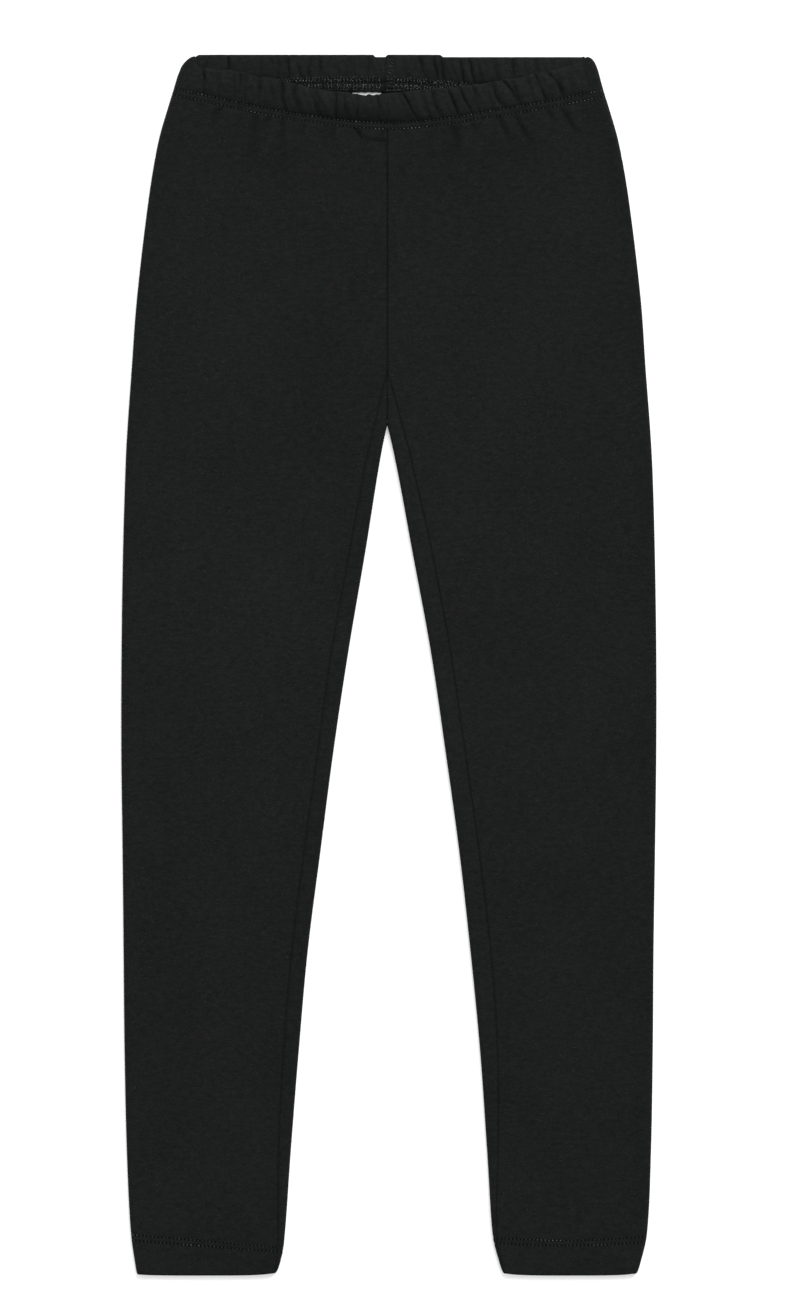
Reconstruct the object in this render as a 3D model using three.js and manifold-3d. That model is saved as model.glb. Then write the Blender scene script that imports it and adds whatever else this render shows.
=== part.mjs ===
// Full-length leggings in black cotton sweat jersey, laid flat on their back.
// Millimetres. +X is the viewer's right, +Y runs towards the waist, and +Z is up from the surface they lie on.
// The origin is on that surface, under the middle of the garment. Heights along the garment are given as "up",
// the distance up from the hem's edge.
import * as THREE from "three";
import { mergeVertices } from "three/addons/utils/BufferGeometryUtils.js";
import Module from "manifold-3d";

const { clamp, lerp, smoothstep, degToRad } = THREE.MathUtils;

// Driving sizes of the whole garment
const LENGTH = 976; // waist edge at the centre back to the hem's edge
const CLOTH = 1.4; // one layer of brushed sweat jersey
const SEAM_GAP = 0.4; // between two pieces at a seam, along the garment
const CENTRE_GAP = 0.3; // between the two edges of a seam that runs down the garment
const CENTRE_X = -1.6; // the centre front and centre back seams
const SPLIT_UP = 723; // where the centre front seam parts into the two inseams

// Waist casing
const WAIST_UP = 945; // the casing's sewn edge at the side
const WAIST_SAG = 26.5; // how much lower that edge lies at the centre front
const SAG_POWER = 1.1; // a little more pointed than a sine
const WAIST_BACK_RISE = 4; // how much higher it lies at the centre back
const RISE_REACH = 0.1; // the share of the way to the centre over which it rises
const CASING_HEIGHT = 27;
const CASING_FRONT_UNDER = 4; // the front casing's underside, clear of the back casing
const CASING_FOLD_RADIUS = 4.1;
const CASING_FOLD_CLOTH = 2.8; // how thick the casing is where it folds at the side
const PUFF = 0.8; // how far the gathers stand up between two creases
const BACK_PUFF_SHARE = 0.7;

// Hems
const HEM_UP = 30; // the needle row's height at the outer side, before each leg's own tilt
const HEM_CLOTH = 2.4; // two layers, pressed together
const CURL_POWER = 10; // how close to its corner a hem's edge curls up

// How high the front layer lies
const FOLD_RADIUS = 2.7; // of the soft fold down each side of a leg
const HEM_FOLD_RADIUS = 3;
const LEG_HEIGHT = 3.7; // the front layer's face above the surface, mid leg
const HEM_HEIGHT = 5.4;
const WAIST_HEIGHT = 6.4;
const FOLD_REACH = 8; // how far the fullness of a fold reaches into the leg

// Where the hem's and the waist's own shapes fade into the plain leg
const HEM_FULLNESS_END = 90;
const HEM_TILT_END = 110;
const WAIST_SAG_START = 700;
const WAIST_FOLD_START = 850;
const WAIST_LIFT_START = 880;

// Outline of each leg: its outer fold, its inner fold and its inseam, as x. Past the crotch the inner fold
// runs on across the centre, where the centre seams cut it off.
const RIGHT_OUTLINE = [
  { up: 0, outer: -201.6, inner: -91.2, seam: -92.4 },
  { up: 6, outer: -202.8, inner: -88.8, seam: -90.8 },
  { up: 32, outer: -206.6, inner: -84.2, seam: -89.2 },
  { up: 100, outer: -209.8, inner: -78.6, seam: -88.8 },
  { up: 180, outer: -211.6, inner: -72.2, seam: -84.6 },
  { up: 260, outer: -212.4, inner: -65.0, seam: -78.0 },
  { up: 340, outer: -213.2, inner: -54.8, seam: -68.0 },
  { up: 420, outer: -214.2, inner: -44.4, seam: -57.2 },
  { up: 500, outer: -214.0, inner: -32.4, seam: -46.0 },
  { up: 580, outer: -212.8, inner: -18.8, seam: -31.6 },
  { up: 652, outer: -210.6, inner: -7.2, seam: -17.2 },
  { up: 681, outer: -209.0, inner: -1.2, seam: -12.0 },
  { up: 723, outer: -206.0, inner: 12, seam: -1.2 },
  { up: 780, outer: -201.8, inner: 16, seam: 0 },
  { up: 860, outer: -192.4, inner: 16, seam: 0 },
  { up: 908, outer: -184.4, inner: 16, seam: 0 },
  { up: 940, outer: -175.6, inner: 16, seam: 0 },
  { up: 964, outer: -166.8, inner: 16, seam: 0 },
  { up: 976, outer: -160.4, inner: 16, seam: 0 },
];
const LEFT_OUTLINE = [
  { up: 0, outer: 198.0, inner: 91.6, seam: 93.0 },
  { up: 6, outer: 200.2, inner: 89.2, seam: 90.2 },
  { up: 32, outer: 206.2, inner: 83.0, seam: 85.6 },
  { up: 100, outer: 209.4, inner: 78.2, seam: 86.8 },
  { up: 180, outer: 210.8, inner: 72.6, seam: 86.4 },
  { up: 260, outer: 211.4, inner: 64.8, seam: 80.8 },
  { up: 340, outer: 212.6, inner: 55.8, seam: 71.4 },
  { up: 420, outer: 213.6, inner: 44.8, seam: 60.2 },
  { up: 500, outer: 213.6, inner: 33.0, seam: 48.4 },
  { up: 580, outer: 212.4, inner: 18.2, seam: 33.6 },
  { up: 643, outer: 210.6, inner: 6.6, seam: 19.4 },
  { up: 681, outer: 208.4, inner: -2.0, seam: 11.0 },
  { up: 723, outer: 205.2, inner: -15, seam: -2.0 },
  { up: 780, outer: 201.2, inner: -19, seam: -3.2 },
  { up: 860, outer: 191.6, inner: -19, seam: -3.2 },
  { up: 908, outer: 183.4, inner: -19, seam: -3.2 },
  { up: 940, outer: 174.8, inner: -19, seam: -3.2 },
  { up: 964, outer: 167.0, inner: -19, seam: -3.2 },
  { up: 976, outer: 160.4, inner: -19, seam: -3.2 },
];

// Creases of the gathered casing, from the side to the centre: x at the top edge, how far the crease runs
// sideways on its way down to the needle rows, and its depth, where 1 cuts the whole puff.
const RIGHT_FRONT_CREASES = [
  { x: -148.6, run: 2, depth: 1.0 },
  { x: -137.4, run: 1, depth: 0.5 },
  { x: -125.4, run: 0, depth: 0.7 },
  { x: -118.6, run: -1, depth: 0.7 },
  { x: -103.0, run: -2, depth: 0.8 },
  { x: -85.8, run: 1, depth: 1.0 },
  { x: -74.2, run: 4, depth: 0.9 },
  { x: -58.2, run: 3, depth: 0.7 },
  { x: -43.2, run: 1.5, depth: 1.0 },
  { x: -34.2, run: 2.5, depth: 0.7 },
  { x: -25.4, run: 1, depth: 0.9 },
  { x: -15.0, run: 1, depth: 0.5 },
];
const LEFT_FRONT_CREASES = [
  { x: 154.6, run: 4, depth: 0.5 },
  { x: 141.4, run: 8, depth: 0.6 },
  { x: 125.0, run: 13, depth: 1.0 },
  { x: 115.4, run: 7, depth: 0.7 },
  { x: 102.6, run: 7, depth: 0.6 },
  { x: 89.8, run: 11, depth: 0.9 },
  { x: 81.5, run: 9.5, depth: 1.0 },
  { x: 73.0, run: 7, depth: 0.6 },
  { x: 64.2, run: 7.5, depth: 0.8 },
  { x: 57.0, run: 8.5, depth: 1.0 },
  { x: 43.8, run: 6.4, depth: 0.9 },
  { x: 33.8, run: 5, depth: 0.7 },
  { x: 25.0, run: 7, depth: 0.6 },
  { x: 9.8, run: 11, depth: 1.0 },
];
const RIGHT_BACK_CREASES = [
  { x: -142.8, run: -10.2, depth: 0.5 },
  { x: -128.9, run: 0, depth: 0.9 },
  { x: -121.4, run: 0, depth: 0.7 },
  { x: -105.0, run: 0, depth: 0.5 },
  { x: -88.9, run: 0, depth: 0.9 },
  { x: -80.8, run: 0, depth: 1.0 },
  { x: -64.6, run: -1, depth: 0.7 },
  { x: -54.5, run: -1, depth: 0.7 },
  { x: -35.0, run: -4, depth: 0.6 },
  { x: -16.6, run: 0, depth: 0.5 },
];
const LEFT_BACK_CREASES = [
  { x: 142.5, run: 9.5, depth: 0.4 },
  { x: 130.0, run: 4, depth: 0.5 },
  { x: 117.0, run: 1, depth: 0.5 },
  { x: 97.8, run: 3, depth: 0.8 },
  { x: 85.0, run: 1, depth: 0.5 },
  { x: 71.9, run: 1, depth: 0.7 },
  { x: 62.2, run: 6, depth: 0.8 },
  { x: 57.0, run: 2.5, depth: 1.0 },
  { x: 41.0, run: 4, depth: 1.0 },
  { x: 34.2, run: 5, depth: 1.0 },
  { x: 27.4, run: 6, depth: 0.8 },
  { x: 13.0, run: 1, depth: 0.5 },
];

// Folds that run down from the casing into the front of each leg: x at the seam, sideways run, length, depth.
const RIGHT_FOLDS = [
  { x: -136, run: -8, length: 26, depth: 0.9 },
  { x: -107, run: -5, length: 62, depth: 1.1 },
  { x: -84, run: -1, length: 48, depth: 1.2 },
  { x: -44, run: -4, length: 30, depth: 1.0 },
  { x: -20, run: 5, length: 40, depth: 0.7 },
];
const LEFT_FOLDS = [
  { x: 52, run: -5, length: 58, depth: 1.1 },
  { x: 70, run: 5, length: 24, depth: 0.9 },
  { x: 89, run: 9, length: 36, depth: 1.0 },
  { x: 110, run: 13, length: 72, depth: 1.4 },
  { x: 138, run: 14, length: 30, depth: 0.9 },
];
const FOLD_WIDTH = 5;
const FOLD_FULL = 0.25; // the share of a fold's length that is at full depth

// Where the front casing's top edge dips: x, half width and depth
const WAIST_DIPS = [
  { x: -150, width: 9, depth: 3.6 },
  { x: -27, width: 24, depth: 3.2 },
  { x: 108, width: 14, depth: 1.6 },
];

// The casing's profile from its sewn edge to its top fold: height, how thick it is there, how far its inner
// face is drawn up, and how much of the gathers' puff reaches there. The dip is the upper needle row.
const CASING_PROFILE = [
  { up: SEAM_GAP / 2, thick: 2.4, tuck: 0, puff: 0.15 },
  { up: 2.4, thick: 2.6, tuck: 0, puff: 0.2 },
  { up: 4.4, thick: 2.0, tuck: 0, puff: 0.25 },
  { up: 7, thick: 2.9, tuck: 0, puff: 0.8 },
  { up: 15, thick: 3.1, tuck: 0, puff: 1 },
  { up: 24, thick: 2.7, tuck: 0, puff: 1 },
  { up: CASING_HEIGHT, thick: 0.9, tuck: 1.0, puff: 0.7 },
];

// The turned hem's profile: share of the way up to the needle row, and the depths of its two faces.
const HEM_PROFILE = [
  { share: 0, face: 0.7, back: 1.7 },
  { share: 0.05, face: 0.15, back: 2.3 },
  { share: 0.3, face: 0, back: HEM_CLOTH },
  { share: 0.8, face: 0, back: HEM_CLOTH },
  { share: 1, face: 0.3, back: HEM_CLOTH },
];

const LABEL = { x: -17.5, width: 24, length: 30, thick: 0.8 };

// Rows of the leg's grid, as up at the outer side
const LEG_ROWS = [
  HEM_UP, 40, 58, 90, 140, 200, 270, 340, 410, 490, 560, 615, 650, 671, 683, 697, 715, 745, 785, 825, 860, 888,
  912, 930, WAIST_UP,
];
const FRONT_STEPS = 20;
const LEAST_STEP = 0.014; // as a share of the way across the front
const BACK_SHARES = [0, 0.22, 0.44, 0.66, 0.85, 0.908, 0.955]; // from the inner fold to the outer one
const ARC_STEPS = 5;
const HEM_FRONT_STEPS = 12;

const wasm = await Module();
wasm.setup();

// A smooth curve through one column of a table, by its up column.
function curve(table, name) {
  const slope = (i) => {
    const before = table[Math.max(i - 1, 0)];
    const after = table[Math.min(i + 1, table.length - 1)];
    return (after[name] - before[name]) / (after.up - before.up);
  };
  return (up) => {
    const place = clamp(up, table[0].up, table[table.length - 1].up);
    const next = Math.max(1, table.findIndex((row) => row.up >= place));
    const [a, b] = [table[next - 1], table[next]];
    const span = b.up - a.up;
    const t = (place - a.up) / span;
    const rise = (3 - 2 * t) * t * t;
    const from = slope(next - 1) * span * t * (1 - t) * (1 - t);
    const to = slope(next) * span * t * t * (1 - t);
    return lerp(a[name], b[name], rise) + from - to;
  };
}

// Everything that differs between the two legs. side is -1 for the right leg, at the viewer's left.
function makeLeg(side, table, parts) {
  const outer = curve(table, "outer");
  const inner = curve(table, "inner");
  const seam = curve(table, "seam");
  return { side, outer, inner, seam, ...parts };
}

// hem: the needle row's height at each side, how far it sags between, and how far each corner curls up.
// sideRise: how far the back casing's edge has risen once it is clear of the side fold.
const RIGHT = makeLeg(-1, RIGHT_OUTLINE, {
  folds: RIGHT_FOLDS,
  hem: { outer: 32, inner: 21.6, sag: 0, outerCurl: 0.8, innerCurl: 1.7 },
  sideRise: 4,
  frontCreases: RIGHT_FRONT_CREASES,
  backCreases: RIGHT_BACK_CREASES,
});
const LEFT = makeLeg(1, LEFT_OUTLINE, {
  folds: LEFT_FOLDS,
  hem: { outer: 30, inner: 28.8, sag: 2.4, outerCurl: 1.5, innerCurl: 1.5 },
  sideRise: 2.4,
  frontCreases: LEFT_FRONT_CREASES,
  backCreases: LEFT_BACK_CREASES,
});

const yOf = (up) => up - LENGTH / 2;

// The radius of the fold down a leg's side, and the height of the front layer away from the folds.
function foldRadius(up) {
  const hem = (HEM_FOLD_RADIUS - FOLD_RADIUS) * (1 - smoothstep(up, HEM_UP, HEM_FULLNESS_END));
  const waist = (CASING_FOLD_RADIUS - FOLD_RADIUS) * smoothstep(up, WAIST_FOLD_START, WAIST_UP);
  return FOLD_RADIUS + hem + waist;
}

function layerHeight(up) {
  const hem = (HEM_HEIGHT - LEG_HEIGHT) * (1 - smoothstep(up, HEM_UP, HEM_FULLNESS_END));
  const waist = (WAIST_HEIGHT - LEG_HEIGHT) * smoothstep(up, WAIST_LIFT_START, WAIST_UP);
  return LEG_HEIGHT + hem + waist;
}

// How far across from the side fold to the centre a point lies, from 0 to 1.
function acrossToCentre(leg, x, up) {
  const start = leg.outer(up) - leg.side * foldRadius(up);
  return clamp((x - start) / (CENTRE_X - start), 0, 1);
}

// The sewn edge of the casing, lower at the centre front and a little higher at the centre back.
const frontSag = (across) => WAIST_SAG * Math.sin((across * Math.PI) / 2) ** SAG_POWER;
const backRise = (leg, across) =>
  Math.min(across / RISE_REACH, 1) * lerp(leg.sideRise, WAIST_BACK_RISE, smoothstep(across, 0.6, 1));

// How far the front casing's top edge dips at x.
const frontDip = (x) =>
  WAIST_DIPS.reduce((sum, dip) => sum + dip.depth * Math.exp(-(((x - dip.x) / dip.width) ** 2)), 0);

// The hem's upper edge, at a share of the way from the outer fold to the inner one.
function hemLine(leg, share) {
  const straight = lerp(leg.hem.outer, leg.hem.inner, share);
  return straight - leg.hem.sag * Math.sin(share * Math.PI);
}

// How deep the folds below the casing lie at a point of the front layer.
function foldDepth(leg, x, row) {
  return leg.folds.reduce((sum, fold) => {
    const along = (WAIST_UP - row) / fold.length;
    const off = (x - fold.x - fold.run * Math.min(along, 1)) / FOLD_WIDTH;
    const fade = 1 - smoothstep(along, FOLD_FULL, 1);
    return sum + fold.depth * fade * Math.exp(-off * off);
  }, 0);
}

// Shares of the way across the front, from the outer fold to the inner one: evenly spaced.
const evenShares = (steps) => Array.from({ length: steps }, (_, i) => i / steps);

// The same, with three more at each fold below the casing and none closer together than the least step.
function foldShares(leg) {
  const radius = foldRadius(WAIST_UP);
  const start = leg.outer(WAIST_UP) - leg.side * radius;
  const end = leg.inner(WAIST_UP) + leg.side * radius;
  const shareOf = (x) => (x - start) / (end - start);
  const extra = leg.folds.flatMap((fold) =>
    [-1, 0, 1].map((k) => shareOf(fold.x + fold.run / 3 + k * FOLD_WIDTH)),
  );
  const isClear = (t) => !t || extra.every((e) => Math.abs(e - t) > LEAST_STEP);
  return [...evenShares(FRONT_STEPS).filter(isClear), ...extra].sort((a, b) => a - b);
}

// The stops of a ring round a leg: up the outer fold, across the front, down the inner fold and underneath.
function ringStops(frontShares) {
  const stops = [];
  for (const t of evenShares(ARC_STEPS)) stops.push({ part: "outer", t });
  for (const t of frontShares) stops.push({ part: "front", t });
  for (const t of evenShares(ARC_STEPS)) stops.push({ part: "inner", t });
  for (const t of BACK_SHARES) stops.push({ part: "back", t });
  return stops;
}

// A point of a leg's outer face. row is the grid row's height at the side, and bend moves it along the leg.
function legPoint(leg, row, stop, bend) {
  const radius = foldRadius(row);
  const outerX = leg.outer(row) - leg.side * radius;
  const innerX = leg.inner(row) + leg.side * radius;
  if (stop.part === "outer" || stop.part === "inner") {
    const angle = lerp(-Math.PI / 2, Math.PI / 2, stop.part === "outer" ? stop.t : 1 - stop.t);
    const centre = stop.part === "outer" ? outerX : innerX;
    const out = stop.part === "outer" ? leg.side : -leg.side;
    const share = stop.part === "outer" ? 0 : 1;
    const x = centre + out * radius * Math.cos(angle);
    const up = bend(x, share, angle > 0);
    return new THREE.Vector3(x, yOf(up), radius + radius * Math.sin(angle));
  }
  const share = stop.part === "front" ? stop.t : 1 - stop.t;
  const x = lerp(outerX, innerX, share);
  const up = bend(x, share, stop.part === "front");
  if (stop.part === "back") return new THREE.Vector3(x, yOf(up), 0);
  const rest = layerHeight(row);
  const fromOuter = Math.abs(x - outerX) / FOLD_REACH;
  const fromInner = Math.abs(x - innerX) / FOLD_REACH;
  const fullness = Math.exp(-fromOuter * fromOuter) + Math.exp(-fromInner * fromInner);
  const height = rest + (2 * radius - rest) * fullness;
  return new THREE.Vector3(x, yOf(up), height - foldDepth(leg, x, row) * smoothstep(fromOuter, 0, 1));
}

// Where a row of the leg lies along it: level, but bent to the hem's line below and the casing's edge above.
function legBend(leg, row) {
  const hemShare = 1 - smoothstep(row, HEM_UP, HEM_TILT_END);
  const waistShare = smoothstep(row, WAIST_SAG_START, WAIST_UP);
  return (x, share, onFront) => {
    const across = acrossToCentre(leg, x, row);
    const hem = (hemLine(leg, share) - HEM_UP) * hemShare;
    const waist = onFront ? -frontSag(across) : backRise(leg, across);
    return row + hem + waist * waistShare;
  };
}

// Where a row of the hem lies, at a share of the way from its edge to the needle row.
function hemBend(leg, share) {
  return (x, across) => {
    const outerCurl = leg.hem.outerCurl * (1 - across) ** CURL_POWER;
    const innerCurl = leg.hem.innerCurl * across ** CURL_POWER;
    return lerp(outerCurl + innerCurl, hemLine(leg, across) - SEAM_GAP, share);
  };
}

// A wall between two grids of points, [stop][row], one for each face. closed joins the last stop to the first.
function wallGeometry(face, back, closed, flip) {
  const [stops, rows] = [face.length, face[0].length];
  const positions = [...face.flat(), ...back.flat()].flatMap((p) => [p.x, p.y, p.z]);
  const faceAt = (i, j) => (i % stops) * rows + j;
  const backAt = (i, j) => stops * rows + faceAt(i, j);
  const index = [];
  const quad = (a, b, c, d) => index.push(...(flip ? [a, c, b, a, d, c] : [a, b, c, a, c, d]));
  const spans = closed ? stops : stops - 1;
  for (let i = 0; i < spans; i++) {
    for (let j = 0; j < rows - 1; j++) {
      quad(faceAt(i, j), faceAt(i + 1, j), faceAt(i + 1, j + 1), faceAt(i, j + 1));
      quad(backAt(i, j), backAt(i, j + 1), backAt(i + 1, j + 1), backAt(i + 1, j));
    }
    quad(backAt(i, 0), backAt(i + 1, 0), faceAt(i + 1, 0), faceAt(i, 0));
    quad(faceAt(i, rows - 1), faceAt(i + 1, rows - 1), backAt(i + 1, rows - 1), backAt(i, rows - 1));
  }
  if (!closed) {
    for (let j = 0; j < rows - 1; j++) {
      quad(faceAt(0, j), faceAt(0, j + 1), backAt(0, j + 1), backAt(0, j));
      quad(backAt(stops - 1, j), backAt(stops - 1, j + 1), faceAt(stops - 1, j + 1), faceAt(stops - 1, j));
    }
  }
  const geometry = new THREE.BufferGeometry();
  geometry.setAttribute("position", new THREE.Float32BufferAttribute(positions, 3));
  geometry.setIndex(index);
  return geometry;
}

// The points of a closed ring grid moved into the tube, across the garment, by a depth for each row.
function movedInwards(grid, depths, side) {
  const stops = grid.length;
  return grid.map((line, i) =>
    line.map((point, j) => {
      const before = grid[(i + stops - 1) % stops][j];
      const after = grid[(i + 1) % stops][j];
      const inward = new THREE.Vector3(after.z - before.z, 0, before.x - after.x).normalize();
      return point.clone().addScaledVector(inward, -side * depths[j]);
    }),
  );
}

// A geometry as a solid that can be cut, and back again.
function solidOf(geometry) {
  const bare = geometry.clone();
  bare.deleteAttribute("normal");
  bare.deleteAttribute("uv");
  const merged = mergeVertices(bare, 1e-4);
  const vertProperties = new Float32Array(merged.attributes.position.array);
  const triVerts = new Uint32Array(merged.index.array);
  return new wasm.Manifold(new wasm.Mesh({ numProp: 3, vertProperties, triVerts }));
}

function geometryOf(solid) {
  const mesh = solid.getMesh();
  const geometry = new THREE.BufferGeometry();
  geometry.setAttribute("position", new THREE.BufferAttribute(mesh.vertProperties, 3));
  geometry.setIndex(new THREE.BufferAttribute(mesh.triVerts, 1));
  return geometry;
}

// The half of space on a leg's own side of the centre seams.
function ownHalf(leg) {
  const width = LENGTH;
  const box = new THREE.BoxGeometry(width, 2 * LENGTH, LENGTH);
  box.translate(CENTRE_X + leg.side * (CENTRE_GAP / 2 + width / 2), 0, 0);
  return solidOf(box);
}

// The slit that parts the panel's two edges along the inseam, through the front layer only.
function inseamSlit(leg) {
  const rows = LEG_ROWS.filter((up) => up < SPLIT_UP);
  const line = [...rows, SPLIT_UP].map((up) => new THREE.Vector2(leg.seam(up), yOf(up)));
  line[0].y -= HEM_UP;
  const near = line.map((p) => new THREE.Vector2(p.x - CENTRE_GAP / 2, p.y));
  const far = line.map((p) => new THREE.Vector2(p.x + CENTRE_GAP / 2, p.y)).reverse();
  const outline = new THREE.Shape([...near, ...far]);
  const slit = new THREE.ExtrudeGeometry(outline, { depth: 4 * FOLD_RADIUS, bevelEnabled: false });
  slit.translate(0, 0, CLOTH + CENTRE_GAP);
  return solidOf(slit);
}

// A leg: a wall round both layers, cut off at the centre seams and slit along the inseam.
function legGeometry(leg) {
  const face = ringStops(foldShares(leg)).map((stop) =>
    LEG_ROWS.map((row) => {
      const edge = row === WAIST_UP ? SEAM_GAP / 2 : 0;
      const point = legPoint(leg, row, stop, legBend(leg, row));
      point.y -= edge;
      return point;
    }),
  );
  const back = movedInwards(face, LEG_ROWS.map(() => CLOTH), leg.side);
  const tube = solidOf(wallGeometry(face, back, true, leg.side > 0));
  return geometryOf(tube.intersect(ownHalf(leg)).subtract(inseamSlit(leg)));
}

// A hem: two layers turned up at the edge, on the same rings as the leg's end.
function hemGeometry(leg) {
  const grid = ringStops(evenShares(HEM_FRONT_STEPS)).map((stop) =>
    HEM_PROFILE.map(({ share }) => legPoint(leg, HEM_UP * share, stop, hemBend(leg, share))),
  );
  const face = movedInwards(grid, HEM_PROFILE.map((row) => row.face), leg.side);
  const back = movedInwards(grid, HEM_PROFILE.map((row) => row.back), leg.side);
  return wallGeometry(face, back, true, leg.side > 0);
}

// The stops of a casing half along one layer, from its side fold to the centre: each crease, and two stops on
// the puff between it and the next.
function casingStops(leg, creases) {
  const topX = leg.outer(WAIST_UP + CASING_HEIGHT) - leg.side * CASING_FOLD_RADIUS;
  const seamX = leg.outer(WAIST_UP) - leg.side * CASING_FOLD_RADIUS;
  const side = { x: topX, run: seamX - topX, depth: 0.4 };
  const centre = { x: CENTRE_X + (leg.side * CENTRE_GAP) / 2, run: 0, depth: 0.9 };
  const marks = [side, ...creases, centre];
  const stops = [];
  for (let i = 0; i < marks.length - 1; i++) {
    const [a, b] = [marks[i], marks[i + 1]];
    for (const t of [0, 1 / 3, 2 / 3]) {
      const lift = t ? 1 : 1 - a.depth;
      stops.push({ x: lerp(a.x, b.x, t), run: lerp(a.run, b.run, t), lift });
    }
  }
  stops.push({ ...centre, lift: 1 - centre.depth });
  return stops;
}

// One stop of the casing on the front or back layer, as a row of face points and a row of inner points.
function casingRow(leg, stop, onFront) {
  const face = [];
  const back = [];
  for (const row of CASING_PROFILE) {
    const up = row.up;
    const start = leg.outer(WAIST_UP + up) - leg.side * CASING_FOLD_RADIUS;
    const x = stop.x + stop.run * (1 - up / CASING_HEIGHT);
    const across = clamp((x - start) / (CENTRE_X - start), 0, 1);
    const edge = onFront ? -frontSag(across) : backRise(leg, across);
    const height = onFront ? up * (1 - frontDip(x) / CASING_HEIGHT) : up;
    const y = yOf(WAIST_UP + edge + height);
    const near = Math.exp(-(((x - start) / FOLD_REACH) ** 2));
    const puff = PUFF * stop.lift * row.puff * (1 - near);
    const thick = lerp(row.thick, Math.min(row.thick, CASING_FOLD_CLOTH), near);
    if (onFront) {
      const under = lerp(CASING_FRONT_UNDER, 2 * CASING_FOLD_RADIUS - CASING_FOLD_CLOTH, near);
      face.push(new THREE.Vector3(x, y, under + thick + row.tuck / 2 + puff));
      back.push(new THREE.Vector3(x, y, under + row.tuck));
    } else {
      face.push(new THREE.Vector3(x, y, row.tuck));
      back.push(new THREE.Vector3(x, y, thick + row.tuck / 2 + puff * BACK_PUFF_SHARE));
    }
  }
  return { face, back };
}

// One stop of the casing on its side fold, at an angle round it.
function casingArcRow(leg, angle) {
  const ring = (row, depth) => {
    const centre = leg.outer(WAIST_UP + row.up) - leg.side * CASING_FOLD_RADIUS;
    const radius = CASING_FOLD_RADIUS - depth;
    const x = centre + leg.side * radius * Math.cos(angle);
    return new THREE.Vector3(x, yOf(WAIST_UP + row.up), CASING_FOLD_RADIUS + radius * Math.sin(angle));
  };
  return {
    face: CASING_PROFILE.map((row) => ring(row, row.tuck)),
    back: CASING_PROFILE.map((row) => ring(row, Math.min(row.thick + row.tuck / 2, CASING_FOLD_CLOTH))),
  };
}

// A casing half: the back layer from the centre to the side, round the fold, and the front layer back again.
function casingGeometry(leg) {
  const lines = casingStops(leg, leg.backCreases).reverse().map((stop) => casingRow(leg, stop, false));
  for (let i = 1; i < ARC_STEPS; i++) lines.push(casingArcRow(leg, degToRad(-90 + (180 * i) / ARC_STEPS)));
  lines.push(...casingStops(leg, leg.frontCreases).map((stop) => casingRow(leg, stop, true)));
  return wallGeometry(lines.map((line) => line.face), lines.map((line) => line.back), false, leg.side > 0);
}

// A folded loop of woven tape, hanging from the back casing between the two layers.
function labelGeometry() {
  const bottom = CLOTH + CENTRE_GAP;
  const top = yOf(WAIST_UP + WAIST_BACK_RISE - SEAM_GAP);
  const profile = new THREE.Shape();
  profile.moveTo(0, 0);
  profile.lineTo(-LABEL.length, 0);
  profile.absarc(-LABEL.length, LABEL.thick / 2, LABEL.thick / 2, -Math.PI / 2, Math.PI / 2, true);
  profile.lineTo(0, LABEL.thick);
  const extrusion = { depth: LABEL.width, bevelEnabled: false, curveSegments: 6 };
  const label = new THREE.ExtrudeGeometry(profile, extrusion);
  label.rotateX(Math.PI / 2);
  label.rotateZ(Math.PI / 2);
  label.translate(LABEL.x - LABEL.width / 2, top, bottom);
  return label;
}

const jersey = new THREE.MeshStandardMaterial({ color: 0x1f2020, roughness: 0.92, metalness: 0 });
const tape = new THREE.MeshStandardMaterial({ color: 0xf2f0ec, roughness: 0.7, metalness: 0 });

const leggings = new THREE.Group();
function add(name, geometry, material) {
  const mesh = new THREE.Mesh(geometry, material);
  mesh.name = name;
  leggings.add(mesh);
}

for (const [name, leg] of [
  ["right", RIGHT],
  ["left", LEFT],
]) {
  add(`leg_${name}`, legGeometry(leg), jersey.clone());
  add(`hem_${name}`, hemGeometry(leg), jersey.clone());
  add(`waist_casing_${name}`, casingGeometry(leg), jersey.clone());
}
add("label", labelGeometry(), tape);

export default leggings;
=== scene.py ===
import math

import bmesh
import bpy
import numpy as np
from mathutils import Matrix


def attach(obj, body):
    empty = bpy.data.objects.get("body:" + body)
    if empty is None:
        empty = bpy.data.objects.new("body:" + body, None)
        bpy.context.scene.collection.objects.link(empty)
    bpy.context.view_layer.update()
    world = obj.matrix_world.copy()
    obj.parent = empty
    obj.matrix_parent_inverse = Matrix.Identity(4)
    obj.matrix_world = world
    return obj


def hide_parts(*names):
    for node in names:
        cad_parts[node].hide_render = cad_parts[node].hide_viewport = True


# Full-length leggings in black brushed cotton jersey, laid flat on their back on a pale floor.
# The frame is in metres. All sizes below are in millimetres, and are turned into metres as a mesh is made.
# +X is the viewer's right, +Y runs towards the waist and +Z is up. "up" is a distance from the hem's edge.

bl_info = {
    "name": "Flat-laid leggings",
    "version": (1, 0, 0),
    "blender": (4, 5, 0),
    "location": "View3D > Sidebar > Leggings",
    "description": "Jersey leggings with a gathered waist casing and turned hems, laid flat",
    "category": "Mesh",
}

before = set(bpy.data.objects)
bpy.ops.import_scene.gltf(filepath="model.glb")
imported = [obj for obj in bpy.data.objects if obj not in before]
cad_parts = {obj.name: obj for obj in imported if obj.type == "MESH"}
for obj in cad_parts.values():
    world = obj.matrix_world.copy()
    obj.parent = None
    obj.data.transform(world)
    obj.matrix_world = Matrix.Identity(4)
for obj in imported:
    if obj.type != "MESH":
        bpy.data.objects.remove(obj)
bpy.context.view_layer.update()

MM = 0.001
BODY = "root"

# The whole garment
LENGTH = 976
SEAM_GAP = 0.1
CENTRE_GAP = 0.06
CENTRE_X = -1.6
SPLIT_UP = 723
SEAM_STRAIGHT_UP = 655

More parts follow.
